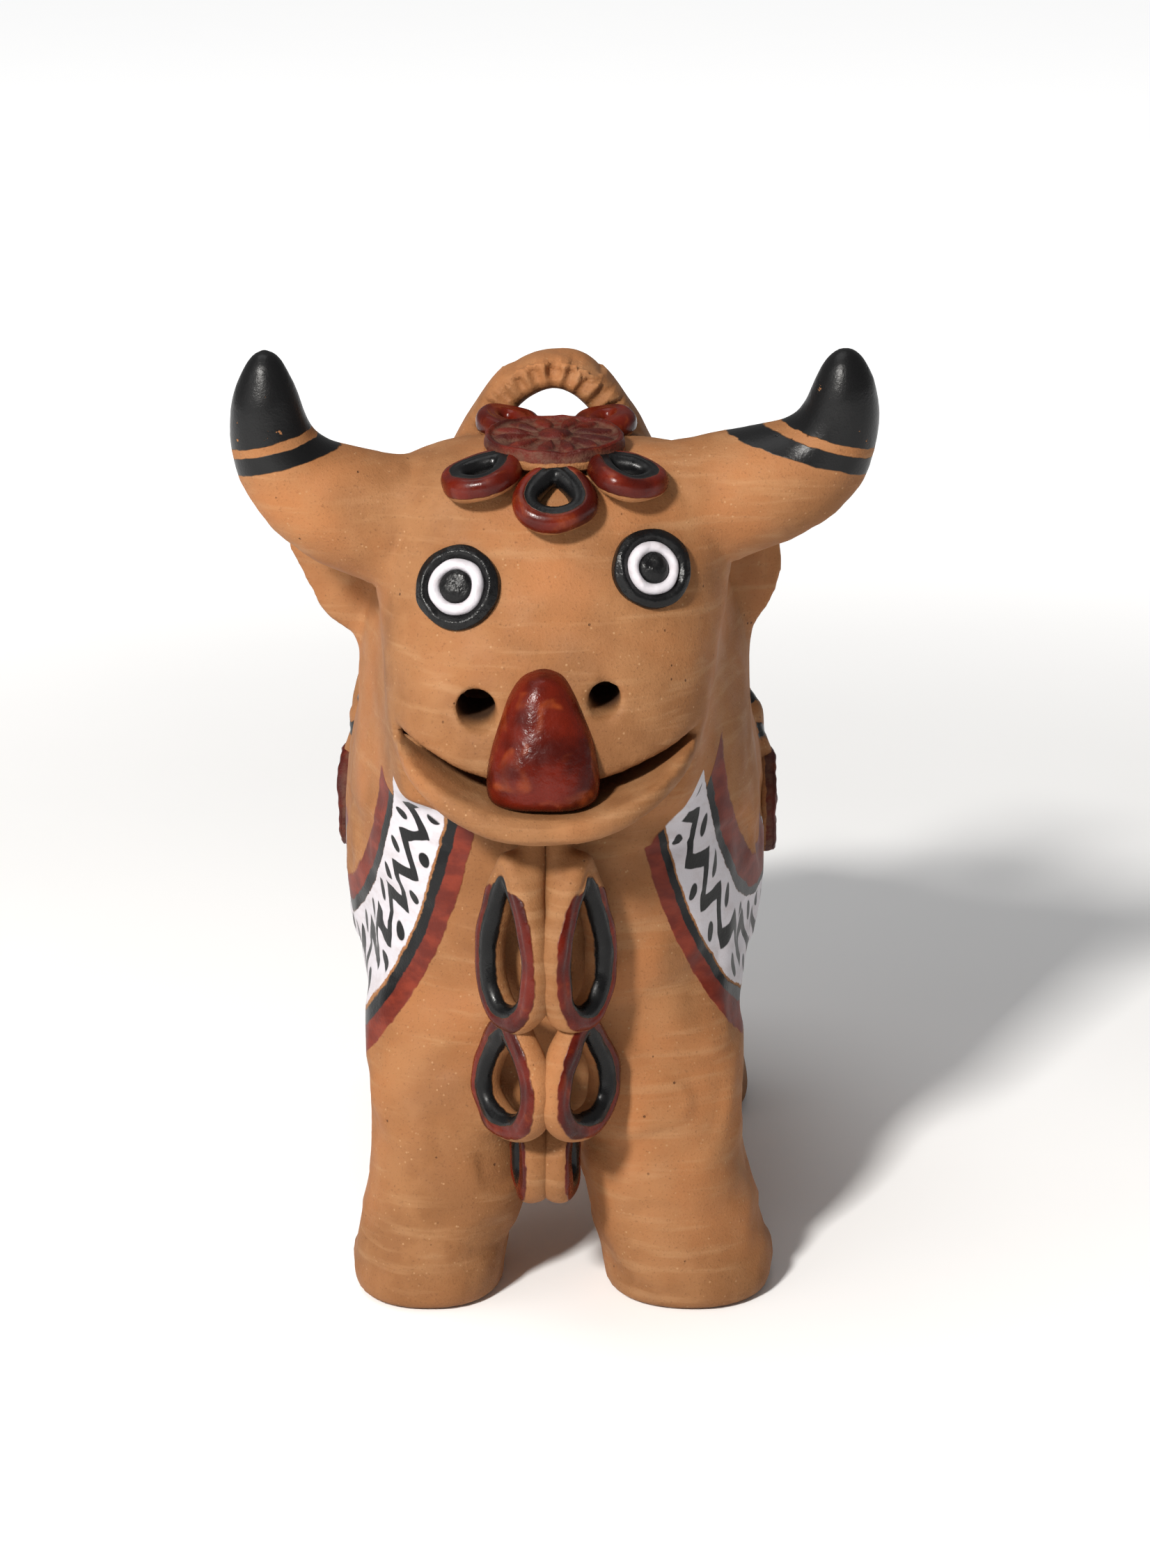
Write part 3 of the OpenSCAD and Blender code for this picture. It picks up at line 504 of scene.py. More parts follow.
def model_clay():
    clay = Clay()
    clay.join("head", (-40, -78, 90), (40, -4, 170), head_shape, 7)
    clay.join("lower_jaw", (-36, -86, 90), (34, -20, 124), jaw_shape, 1.2)
    for end, end_name in ((FRONT, "front"), (REAR, "rear")):
        for name, side in SIDES.items():
            low = (min(side * 2, side * 52), end * 40 - 32, -5)
            high = (max(side * 2, side * 52), end * 40 + 32, 70)
            clay.join(f"leg_{end_name}_{name}", low, high, leg_shape(end, side), 9)
    for name, side in SIDES.items():
        rows = horn_rows(side)
        clay.join(f"horn_{name}", *box_round(rows, 7), strap_shape(rows, [0, -1, 0], 2), 3.5)
    for name, side in SIDES.items():
        rows = ear_rows(side)
        clay.join(f"ear_{name}", *box_round(rows, 4), strap_shape(rows, [1, 0, 0], 2.2), 3)
    rows = handle_rows()
    clay.join("handle", *box_round(rows, 5), strap_shape(rows, [0, -1, 0], 2.8), 3.5)
    rows = strip_rows(clay)
    clay.join("back_strip", *box_round(rows, 3), strap_shape(rows, [0, -1, 0], 2.6), 0.8)
    rows = tail_rows(clay)
    clay.join("tail", *box_round(rows, 3), strap_shape(rows, [0.2, 0.3, 1], 2), 1.6)
    clay.carve((-36, -86, 92), (34, -40, 122), mouth_shape, 0.8)
    for side in (LEFT, RIGHT):
        carve_nostril(clay, side)
    # The feet stand flat
    x, y, z = clay.axes
    clay.field = smooth_max(clay.field, -z + 0 * clay.field, 1.0)
    return clay


def nostril_place(side, points):
    """How far points lie inside a nostril's rim, and how far from its middle line."""
    inward = unit(np.array([0, 1, 0.15]))
    p = points - face_point(side * NOSTRIL_GAP / 2, NOSTRIL_Z)
    deep = p @ inward
    return deep, np.linalg.norm(p - deep[..., None] * inward, axis=-1)


def carve_nostril(clay, side):
    rim = face_point(side * NOSTRIL_GAP / 2, NOSTRIL_Z)
    size = NOSTRIL_D / 2 * (1.0 if side == LEFT else RIGHT_NOSTRIL)

    def bore(part):
        deep, off = nostril_place(side, part.points())
        flare = 0.4 * np.exp(-np.maximum(deep + 1, 0) / 1.2)
        return np.maximum(off - size - flare, deep - NOSTRIL_DEEP)

    clay.carve(rim - 10, rim + [10, 30, 10], bore, 0.9)


def strip_rows(clay):
    """The notched strip slung over the back, from one flank rosette to the other."""
    ends = []
    for side in (RIGHT, LEFT):
        y, z = FLANK_PLACE[side]
        high = z + FLANK_D / 2 - 1
        ends.append(math.atan2(high - CORE_Z, abs(clay.hit((0, y, high), (side, 0, 0))[0])))
    first, last = ends[0], math.pi - ends[1]
    steps = 60
    rows = []
    for i in range(steps + 1):
        t = first + (last - first) * i / steps
        side, foot_turn = (RIGHT, first) if math.cos(t) > 0 else (LEFT, last)
        foot = FLANK_PLACE[side][0]
        y = STRIP_TOP_Y + (foot - STRIP_TOP_Y) * (math.cos(t) / math.cos(foot_turn)) ** 2
        p = clay.hit((0, y, CORE_Z), (math.cos(t), 0, math.sin(t)))
        notch = 0.5 + 0.5 * math.cos(2 * math.pi * i / 4)
        rows.append([*p, STRIP_T * (0.62 + 0.38 * notch), STRIP_W / 2 * (0.93 + 0.07 * notch)])
    return rows


def tail_rows(clay):
    core = (0, CHEST_Y + 0.65 * TRUNK_L, CORE_Z)
    rows = []
    for turn, rise, thick in smooth_rows(TAIL_PLAN, 3):
        turn, rise = math.radians(turn), math.radians(rise)
        level = math.cos(rise)
        p = clay.hit(core, (-math.sin(turn) * level, math.cos(turn) * level, math.sin(rise)))
        rows.append([*p, thick * TAIL_D / 2, thick * TAIL_D / 2])
    return rows


# ---- Meshes -------------------------------------------------------------------------


class Piece:
    """Corners, quads or triangles, normals and values kept at the corners."""

    def __init__(self, points, quads, marks=None):
        self.points = points
        self.quads = quads
        self.triangles = np.zeros((0, 3), int)
        self.marks = marks or {}
        self.normals = None

    def mesh(self, name):
        mesh = bpy.data.meshes.new(name)
        faces = [self.quads, self.triangles]
        loops = np.concatenate([f.ravel() for f in faces]).astype(np.int32)
        sizes = np.concatenate([np.full(len(f), f.shape[1]) for f in faces])
        starts = np.concatenate([[0], np.cumsum(sizes)[:-1]]).astype(np.int32)
        mesh.vertices.add(len(self.points))
        mesh.vertices.foreach_set("co", (self.points * MM).astype(np.float32).ravel())
        mesh.loops.add(len(loops))
        mesh.loops.foreach_set("vertex_index", loops)
        mesh.polygons.add(len(sizes))
        mesh.polygons.foreach_set("loop_start", starts)
        mesh.polygons.foreach_set("use_smooth", np.ones(len(sizes), bool))
        mesh.update(calc_edges=True)
        for key, values in self.marks.items():
            layer = mesh.attributes.new(key, "FLOAT", "POINT")
            layer.data.foreach_set("value", values.astype(np.float32))
        if self.normals is not None:
            mesh.normals_split_custom_set_from_vertices(self.normals.tolist())
        mesh.validate()
        return mesh


def place(piece, node, material):
    """Shows a piece in place of a CAD node of the same name."""
    thing = bpy.data.objects.new(node + "_form", piece.mesh(node + "_form"))
    bpy.context.scene.collection.objects.link(thing)
    thing.data.materials.append(material)
    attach(thing, "root")
    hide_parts(node)


def rim_edges(quads):
    """Edges that only one face uses, in that face's order."""
    edges = np.vstack([quads[:, [k, (k + 1) % 4]] for k in range(4)])
    key = np.sort(edges, 1)
    key = key[:, 0] * (quads.max() + 1) + key[:, 1]
    _, first, count = np.unique(key, return_index=True, return_counts=True)
    return edges[first[count == 1]]


def islands(edges):
    """A number for each edge, alike on edges that are joined."""
    _, ends = np.unique(edges, return_inverse=True)
    ends = ends.reshape(edges.shape)
    mark = np.arange(ends.max() + 1)
    while True:
        low = np.minimum(mark[ends[:, 0]], mark[ends[:, 1]])
        new = mark.copy()
        np.minimum.at(new, ends[:, 0], low)
        np.minimum.at(new, ends[:, 1], low)
        if (new == mark).all():
            return mark[ends[:, 0]]
        mark = new


def take(points, quads, normals, marks, chosen):
    """The piece of a surface that holds the chosen quads."""
    used, again = np.unique(quads[chosen], return_inverse=True)
    piece = Piece(points[used], again.reshape(-1, 4), {k: v[used] for k, v in marks.items()})
    piece.normals = normals[used]
    return piece


def close_with_caps(piece, depth=1.6):
    """Closes each opening with a rim that turns inwards and a fan of triangles behind it."""
    edges = rim_edges(piece.quads)
    if not len(edges):
        return piece
    group = islands(edges)
    walls, caps = [], []
    for g in np.unique(group):
        ring = edges[group == g]
        start = len(piece.points)
        corners, again = np.unique(ring, return_inverse=True)
        again = again.reshape(ring.shape) + start
        sunk = piece.points[corners] - depth * piece.normals[corners]
        middle = start + len(corners)
        piece.points = np.vstack([piece.points, sunk, sunk.mean(0)])
        piece.normals = np.vstack([piece.normals, piece.normals[corners], [[0, 0, 1]]])
        for key, values in piece.marks.items():
            piece.marks[key] = np.concatenate([values, values[corners], [values[corners].mean()]])
        walls.append(np.column_stack([ring[:, 1], ring[:, 0], again[:, 0], again[:, 1]]))
        caps.append(np.column_stack([again[:, 1], again[:, 0], np.full(len(ring), middle)]))
    piece.quads = np.vstack([piece.quads] + walls)
    piece.triangles = np.vstack(caps)
    return piece


def close_with_shell(piece, thick):
    """Closes a piece that lies flat on the body with an inner skin."""
    count = len(piece.points)
    edges = rim_edges(piece.quads)
    piece.points = np.vstack([piece.points, piece.points - thick * piece.normals])
    piece.normals = np.vstack([piece.normals, -piece.normals])
    piece.marks = {k: np.concatenate([v, v]) for k, v in piece.marks.items()}
    wall = np.column_stack([edges[:, 1], edges[:, 0], edges[:, 0] + count, edges[:, 1] + count])
    piece.quads = np.vstack([piece.quads, piece.quads[:, ::-1] + count, wall])
    return piece


def halve(piece):
    """Splits each quad in four."""
    count = len(piece.points)
    edges = np.vstack([piece.quads[:, [k, (k + 1) % 4]] for k in range(4)])
    pairs, again = np.unique(np.sort(edges, 1), axis=0, return_inverse=True)
    mid = count + again.reshape(4, -1)
    centre = count + len(pairs) + np.arange(len(piece.quads))

    def grow(values):
        return np.concatenate([values, values[pairs].mean(1), values[piece.quads].mean(1)])

    quads = np.vstack([
        np.column_stack([piece.quads[:, k], mid[k], centre, mid[k - 1]]) for k in range(4)])
    new = Piece(grow(piece.points), quads, {k: grow(v) for k, v in piece.marks.items()})
    new.normals = unit(grow(piece.normals))
    return new


# ---- The painted bands --------------------------------------------------------------

# Each band follows a sphere round a point beside the shoulder. The edges of its stripes are
# distances from that point: red, black, white, black, red. Then the zigzag's length, and
# the height at which the band begins.
BANDS = {
    LEFT: ((-107, -24, 112), (77.6, 80.3, 81.9, 93.6, 95.9, 99.6), 7.6, 103),
    RIGHT: ((107, -37, 111), (76.2, 79.2, 80.6, 90.3, 91.8, 94.8), 9.6, 102)}
# The same edges on the scale that the material reads
BAND_SCALE = (-9, -6.3, -5, 5, 6.5, 9.5)
# The band ends at the flank's rosette, at this turn from the horizontal seen from the side
BAND_END = 316


def band_marks(points):
    """Along and across each point's band, in millimetres, and the zigzag's turns."""
    along = np.full(len(points), -50.0)
    across = np.full(len(points), 50.0)
    turns = np.zeros(len(points))
    for side, (centre, edges, length, top) in BANDS.items():
        here = points[:, 0] * side > 0
        p = points[here] - centre
        far = np.linalg.norm(p, axis=1)
        reach = np.concatenate([[edges[0] - 40], edges, [edges[-1] + 40]])
        scale = np.concatenate([[BAND_SCALE[0] - 40], BAND_SCALE, [BAND_SCALE[-1] + 40]])
        turn = np.degrees(np.arctan2(p[:, 2], p[:, 1])) % 360
        line, bins = [], []
        for b in np.arange(150, 358, 4.0):
            near = (np.abs(far - (edges[2] + edges[3]) / 2) < 2.5) & (np.abs(turn - b) < 4)
            if near.sum() > 3:
                line.append(points[here][near].mean(0))
                bins.append(b)
        line = np.array(line)
        run = path_length(line)
        first = np.argmax(line[:, 2] < top)
        distance = np.interp(turn, bins, run) - run[first]
        across[here] = np.interp(far, reach, scale)
        along[here] = np.where((turn > 150) & (turn < BAND_END), distance, -50)
        turns[here] = distance / length
    return {"band_along": along, "band_across": across, "band_turns": turns}


def horn_marks(points, owner):
    """How far each point of a horn lies below its tip, on planes that tilt outwards."""
    below = np.full(len(points), 200.0)
    for name, side in SIDES.items():
        here = owner == f"horn_{name}"
        tip = np.array([side * HORN_SPAN / 2, HORN_Y - 5, HORN_Z])
        below[here] = (tip - points[here]) @ np.array([side * 0.26, 0, 0.966])
    return {"horn_tip": below}


def nostril_marks(points):
    """How deep each point lies in a nostril, in millimetres."""
    deep = np.zeros(len(points))
    for side in (LEFT, RIGHT):
        down, off = nostril_place(side, points)
        near = (off < NOSTRIL_D / 2 + 0.8) & (down < 2 * NOSTRIL_D)
        deep = np.maximum(deep, np.where(near, down, 0))
    return {"nostril_deep": deep}


def path_length(points):
    """How far along a path each of its points lies."""
    return np.concatenate([[0], np.cumsum(np.linalg.norm(np.diff(points, axis=0), axis=1))])


def strip_marks(points, rows):
    """How far along the notched strip each point lies, in spaces of the painted dabs."""
    _, along = strap(rows, [0, -1, 0], 2.6, points)
    run = path_length(np.array(rows)[:, :3])
    return 1 + np.interp(along, np.arange(len(run)), run) / DAB_STEP


# ---- Materials ----------------------------------------------------------------------

# How much darker a surface's own colour is than what it shows in the studio's light
EXPOSURE = 0.60


class Paint:
    """A material under construction, with short names for the nodes it needs."""

    def __init__(self, name):
        self.material = bpy.data.materials.new(name)
        self.material.use_nodes = True
        self.tree = self.material.node_tree
        self.shader = self.tree.nodes["Principled BSDF"]
        self.place = self.tree.nodes.new("ShaderNodeTexCoord").outputs["Object"]

    def feed(self, socket, value):
        if isinstance(value, bpy.types.NodeSocket):
            self.tree.links.new(value, socket)
        else:
            socket.default_value = value

    def math(self, operation, a, b=0.0, c=0.0):
        node = self.tree.nodes.new("ShaderNodeMath")
        node.operation = operation
        for socket, value in zip(node.inputs, (a, b, c)):
            self.feed(socket, value)
        return node.outputs[0]

    def mark(self, name):
        node = self.tree.nodes.new("ShaderNodeAttribute")
        node.attribute_name = name
        return node.outputs["Fac"]

    def noise(self, size, detail=3.0, rough=0.55, stretch=None, warp=0.0):
        """Noise whose blotches are about size millimetres wide."""
        node = self.tree.nodes.new("ShaderNodeTexNoise")
        node.inputs["Scale"].default_value = 1 / (size * MM)
        node.inputs["Detail"].default_value = detail
        node.inputs["Roughness"].default_value = rough
        node.inputs["Distortion"].default_value = warp
        source = self.place
        if stretch:
            mapping = self.tree.nodes.new("ShaderNodeMapping")
            mapping.inputs["Scale"].default_value = stretch
            self.tree.links.new(source, mapping.inputs["Vector"])
            source = mapping.outputs[0]
        self.tree.links.new(source, node.inputs["Vector"])
        return node.outputs[0]

    def cells(self, size):
        node = self.tree.nodes.new("ShaderNodeTexVoronoi")
        node.inputs["Scale"].default_value = 1 / (size * MM)
        self.tree.links.new(self.place, node.inputs["Vector"])
        return node.outputs["Distance"]

    def ramp(self, value, low, high, start=0.0, end=1.0):
        """Goes softly from start to end as value goes from low to high."""
        node = self.tree.nodes.new("ShaderNodeMapRange")
        node.interpolation_type = "SMOOTHSTEP"
        for socket, given in zip(node.inputs, (value, low, high, start, end)):
            self.feed(socket, given)
        return node.outputs[0]

    def between(self, value, low, high, soft):
        rise = self.ramp(value, low - soft, low + soft)
        fall = self.ramp(value, high - soft, high + soft, 1.0, 0.0)
        return self.math("MULTIPLY", rise, fall)

    def mix_node(self, kind, ends, result, values):
        node = self.tree.nodes.new("ShaderNodeMix")
        node.data_type = kind
        for index, value in zip((0, *ends), values):
            self.feed(node.inputs[index], value)
        return node.outputs[result]

    def mix(self, share, a, b):
        """From colour a to colour b."""
        return self.mix_node("RGBA", (6, 7), 2, (share, a, b))

    def blend(self, share, a, b):
        """From number a to number b."""
        return self.mix_node("FLOAT", (2, 3), 0, (share, a, b))

    def times(self, a, b):
        return self.math("MULTIPLY", a, b)

    def plus(self, a, b):
        return self.math("ADD", a, b)

    def most(self, a, b):
        return self.math("MAXIMUM", a, b)

    def fused(self, a, b, c):
        """a times b, plus c."""
        return self.math("MULTIPLY_ADD", a, b, c)

    def relief(self, height, depth):
        """Bump from a height of 0 to 1 that stands for depth millimetres."""
        node = self.tree.nodes.new("ShaderNodeBump")
        node.inputs["Strength"].default_value = 1.0
        node.inputs["Distance"].default_value = depth * MM
        self.feed(node.inputs["Height"], height)
        self.feed(self.shader.inputs["Normal"], node.outputs[0])

    def finish(self, colour, rough, mirror=0.5):
        self.feed(self.shader.inputs["Base Color"], colour)
        self.feed(self.shader.inputs["Roughness"], rough)
        self.feed(self.shader.inputs["Specular IOR Level"], mirror)
        return self.material


def rgb(red, green, blue):
    """A surface's own linear colour, from the screen colour that it shows in the studio."""
    linear = (((v / 255 + 0.055) / 1.055) ** 2.4 for v in (red, green, blue))
    return tuple(EXPOSURE * v for v in linear) + (1.0,)


CLAY = rgb(188, 134, 88)
CLAY_WARM = rgb(196, 130, 80)
CLAY_BROWN = rgb(160, 108, 66)
CLAY_PALE = rgb(214, 168, 122)
CLAY_DARK = rgb(84, 46, 26)
OXBLOOD = rgb(114, 30, 14)
OXBLOOD_DEEP = rgb(74, 17, 9)
OXBLOOD_THIN = rgb(180, 84, 38)
BRICK = rgb(146, 56, 34)
BRICK_DEEP = rgb(112, 38, 24)
BLACK = rgb(22, 22, 23)
BLACK_WORN = rgb(92, 84, 78)
WHITE = rgb(240, 235, 241)
WHITE_THIN = rgb(204, 186, 184)
NOSTRIL_SHADE = rgb(48, 30, 20)
DUST = rgb(118, 84, 66)


def bare_clay(paint):
    """Colour, roughness and relief of the burnished, fired clay."""
    broad = paint.ramp(paint.noise(38, 2, warp=0.6), 0.35, 0.68)
    colour = paint.mix(broad, CLAY_BROWN, CLAY_WARM)
    colour = paint.mix(paint.ramp(paint.noise(11, 4, 0.6), 0.42, 0.66, 0, 0.55), colour, CLAY)
    streaks = paint.noise(2.6, 4, 0.6, stretch=(0.10, 0.16, 1.0), warp=0.3)
    colour = paint.mix(paint.ramp(streaks, 0.5, 0.72, 0, 0.30), colour, CLAY_PALE)
    smears = paint.noise(5, 3, 0.6, stretch=(0.4, 0.3, 1.0))
    colour = paint.mix(paint.ramp(smears, 0.58, 0.8, 0, 0.28), colour, CLAY_BROWN)
    grain = paint.noise(0.45, 2, 0.6)
    colour = paint.mix(paint.ramp(grain, 0.56, 0.78, 0, 0.38), colour, CLAY_DARK)
    specks = paint.ramp(paint.cells(1.3), 0.10, 0.2, 1, 0)
    specks = paint.times(specks, paint.ramp(paint.noise(3.0, 2), 0.48, 0.62, 0, 0.6))
    colour = paint.mix(specks, colour, CLAY_PALE)
    pits = paint.ramp(paint.cells(3.4), 0.035, 0.085, 1, 0)
    rare = paint.ramp(paint.noise(9, 1), 0.50, 0.60)
    pits = paint.times(pits, rare)
    colour = paint.mix(paint.times(pits, 0.75), colour, CLAY_DARK)
    rough = paint.ramp(paint.noise(7, 3), 0.3, 0.7, 0.62, 0.82)
    height = paint.fused(grain, 0.30, paint.times(streaks, 0.26))
    height = paint.fused(paint.noise(1.6, 3, 0.6), 0.26, height)
    height = paint.fused(pits, -0.6, height)
    return colour, rough, height


def oxblood(paint):
    """Colour of the dark red glaze, thin and orange in places."""
    thin = paint.ramp(paint.noise(4.5, 4, 0.62, warp=0.8), 0.52, 0.80)
    colour = paint.mix(paint.ramp(paint.noise(9, 2), 0.35, 0.65), OXBLOOD_DEEP, OXBLOOD)
    return paint.mix(paint.times(thin, 0.40), colour, OXBLOOD_THIN)


def brick(paint):
    """Colour of the matt red of the shoulder bands."""
    brushed = paint.ramp(paint.noise(3, 4, 0.6, stretch=(0.5, 0.5, 1.0)), 0.35, 0.7)
    return paint.mix(brushed, BRICK_DEEP, BRICK)


def black(paint):
    worn = paint.ramp(paint.noise(1.1, 4, 0.7), 0.62, 0.82, 0, 0.16)
    return paint.mix(worn, BLACK, BLACK_WORN)


def white(paint):
    brushed = paint.ramp(paint.noise(1.8, 4, 0.6, stretch=(0.5, 0.5, 1.0)), 0.4, 0.75, 0, 0.35)
    return paint.mix(brushed, WHITE, WHITE_THIN)


def band_strokes(paint):
    """Where the shoulder bands are red, black and white."""
    along = paint.mark("band_along")
    turns = paint.mark("band_turns")
    waver = paint.fused(paint.noise(5, 2), 1.0, -0.5)
    bristle = paint.fused(paint.noise(0.9, 2), 0.4, -0.2)
    middle = paint.plus(paint.mark("band_across"), waver)
    across = paint.plus(middle, bristle)
    begin = paint.fused(across, 0.32, 4.0)
    begin = paint.plus(begin, paint.ramp(across, -5.2, -4.8, 6.5, 0))
    begun = paint.math("SUBTRACT", along, begin)
    shown = paint.ramp(paint.plus(begun, paint.times(waver, 1.6)), -0.25, 0.25)
    red = paint.plus(paint.between(across, -9, -6.2, 0.15), paint.between(across, 6.4, 9.5, 0.15))
    dark = paint.plus(paint.between(across, -6.3, -5.0, 0.1), paint.between(across, 5.2, 6.6, 0.1))
    pale = paint.between(across, -5.0, 4.8, 0.1)
    # A zigzag runs down the white, with a dot in each of its notches
    swing = paint.fused(paint.math("PINGPONG", turns, 0.5), 4.0, -1.0)
    curve = paint.math("COSINE", paint.times(turns, 2 * math.pi))
    swing = paint.fused(swing, 1.35, paint.times(curve, -0.55))
    stroke = paint.math("ABSOLUTE", paint.math("SUBTRACT", middle, swing))
    line = paint.ramp(stroke, 1.08, 1.3, 1, 0)
    dots = None
    for shift, spot in ((0.0, 3.0), (0.5, -3.0)):
        phase = paint.math("FRACT", paint.plus(turns, shift + 0.5))
        step = paint.times(paint.math("SUBTRACT", phase, 0.5), 9.6)
        rise = paint.math("SUBTRACT", middle, spot)
        far = paint.math("SQRT", paint.fused(step, step, paint.times(rise, rise)))
        dot = paint.ramp(far, 1.08, 1.3, 1, 0)
        dots = dot if dots is None else paint.most(dots, dot)
    drawn = paint.ramp(begun, 2.2, 2.7)
    drawing = paint.times(paint.most(line, dots), drawn)
    dark = paint.most(dark, paint.times(drawing, pale))
    return [paint.times(shown, mask) for mask in (red, dark, pale)]


def clay_material():
    """Fired clay, with the bands on the shoulders and the glaze on the horns."""
    paint = Paint("fired_clay")
    colour, rough, height = bare_clay(paint)
    red, dark, pale = band_strokes(paint)
    waver = paint.fused(paint.noise(3, 2), 0.8, -0.4)
    tip = paint.plus(paint.mark("horn_tip"), waver)
    cap = paint.ramp(tip, HORN_CAP - 0.1, HORN_CAP + 0.1, 1, 0)
    chips = paint.ramp(paint.noise(2.2, 4, 0.65), 0.68, 0.71, 1, 0)
    gloss = paint.most(paint.times(cap, chips), paint.between(tip, *HORN_RING, 0.12))
    dabs = paint.plus(paint.mark("strip_dabs"), paint.times(waver, 0.15))
    dab = paint.between(paint.math("FRACT", dabs), 0.30, 0.82, 0.04)
    gloss = paint.most(gloss, paint.times(dab, paint.ramp(dabs, 0.5, 0.6)))
    dark = paint.most(dark, gloss)
    shade = paint.ramp(paint.mark("nostril_deep"), 1.0, 6.0, 0, 0.9)
    colour = paint.mix(shade, colour, NOSTRIL_SHADE)
    colour = paint.mix(pale, colour, white(paint))
    colour = paint.mix(red, colour, brick(paint))
    colour = paint.mix(dark, colour, black(paint))
    painted = paint.most(paint.most(red, dark), pale)
    rough = paint.blend(pale, rough, 0.55)
    rough = paint.blend(red, rough, 0.50)
    rough = paint.blend(dark, rough, 0.34)
    height = paint.blend(paint.times(painted, 0.55), height, 1.0)
    paint.relief(height, 0.34)
    return paint.finish(colour, rough, 0.22)


def glaze_rough(paint, low=0.14, high=0.42):
    return paint.ramp(paint.noise(2.4, 4, 0.65), 0.35, 0.72, low, high)


def loop_material(name):
    """A coil of bare clay, glazed red round the outside of its face and black inside."""
    paint = Paint(name)
    colour, rough, height = bare_clay(paint)
    bristle = paint.fused(paint.noise(2.4, 2), 0.30, -0.15)
    inner = paint.plus(paint.mark("coil_inner"), bristle)
    face = paint.plus(paint.mark("coil_face"), bristle)
    red = paint.times(paint.ramp(face, -0.05, 0.05), paint.ramp(inner, -0.05, 0.05, 1, 0))
    dark = paint.times(paint.ramp(face, -0.55, -0.42), paint.ramp(inner, -0.06, 0.04))
    colour = paint.mix(red, colour, oxblood(paint))
    colour = paint.mix(dark, colour, black(paint))
    glazed = paint.most(red, dark)
    rough = paint.blend(glazed, rough, glaze_rough(paint, 0.2, 0.45))
    height = paint.blend(paint.times(glazed, 0.7), height, 1.0)
    paint.relief(height, 0.3)
    return paint.finish(colour, rough, 0.2)


def rosette_material():
    """Red glaze, rubbed on the petals and dusty between them, with a bare clay edge."""
    paint = Paint("oxblood_rosette")
    clay, rough, height = bare_clay(paint)
    level = paint.mark("petal_level")
    edge = paint.plus(paint.mark("disc_edge"), paint.fused(paint.noise(2, 3), 0.5, -0.25))
    colour = oxblood(paint)
    patches = paint.ramp(paint.noise(2.2, 4, 0.7), 0.3, 0.6)
    dust = paint.times(paint.ramp(level, 0.08, 0.5, 1, 0), patches)
    colour = paint.mix(paint.times(dust, 0.7), colour, DUST)
    bare = paint.ramp(edge, 0.45, 0.6)
    colour = paint.mix(bare, colour, clay)
    shine = paint.times(paint.ramp(level, 0.1, 0.7), paint.math("SUBTRACT", 1.0, bare))
    paint.relief(paint.fused(paint.noise(0.8, 4, 0.7), 0.8, height), 0.3)
    return paint.finish(colour, paint.blend(shine, 0.62, 0.34), 0.2)


def tongue_material():
    paint = Paint("oxblood_tongue")
    thin = paint.ramp(paint.noise(6.5, 2, 0.5, warp=0.6), 0.52, 0.72)
    colour = paint.mix(paint.ramp(paint.noise(8, 2), 0.35, 0.65), OXBLOOD_DEEP, OXBLOOD)
    colour = paint.mix(paint.times(thin, 0.6), colour, OXBLOOD_THIN)
    paint.relief(paint.fused(paint.noise(1.1, 3), 0.5, paint.noise(5, 2)), 0.3)
    return paint.finish(colour, glaze_rough(paint, 0.22, 0.38), 0.18)


def black_material():
    paint = Paint("black_glaze")
    paint.relief(paint.fused(paint.noise(0.7, 3), 0.5, paint.noise(2.5, 3)), 0.28)
    return paint.finish(black(paint), glaze_rough(paint, 0.24, 0.45), 0.22)


def white_material():
    paint = Paint("white_slip")
    paint.relief(paint.fused(paint.noise(0.8, 3), 0.5, paint.noise(2.5, 3)), 0.22)
    return paint.finish(white(paint), paint.ramp(paint.noise(2, 3), 0.3, 0.7, 0.4, 0.6), 0.25)


# ---- The body, shared out among its nodes -------------------------------------------

SHELLED = {"back_strip": 1.4, "tail": 1.4}


def smooth_labels(quads, labels, count, corners, rounds=4):
    """Gives each face the label that most faces round its corners have."""
    for _ in range(rounds):
        votes = np.zeros((corners, count), np.int32)
        for k in range(4):
            np.add.at(votes, (quads[:, k], labels), 1)
        heard = votes[quads].sum(1)
        heard[np.arange(len(quads)), labels] += 2
        labels = heard.argmax(1)
    return labels


def handle_gouges(points, normals):
    """Oval finger-tool marks along the front and the top of the strap."""
    rows = handle_rows()
    _, along = strap(rows, [0, -1, 0], 2.8, points)
    run = path_length(rows[:, :3])
    distance = np.interp(along, np.arange(len(run)), run)
    middle = run[-1] / 2
    cx = np.interp(along, np.arange(len(rows)), rows[:, 0])
    cz = np.interp(along, np.arange(len(rows)), rows[:, 2])
    radial = (points[:, 0] - cx) * np.sign(cx) * 0.5 + (points[:, 2] - cz)
    index = np.round((distance - middle) / GOUGE_STEP)
    rng = np.random.default_rng(5)
    jitter = rng.uniform(-0.35, 0.35, 200)
    step = distance - middle - index * GOUGE_STEP - jitter[(index + 60).astype(int)]
    front = np.clip(-normals[:, 1], 0, 1)
    oval_mark = (step / GOUGE_WIDE) ** 2 + ((radial - 0.6) / GOUGE_LONG) ** 2
    shown = np.clip(front * 1.6, 0, 1) * (np.abs(distance - middle) < GOUGE_REACH)
    return -GOUGE_DEPTH * np.exp(-oval_mark ** 1.5) * shown


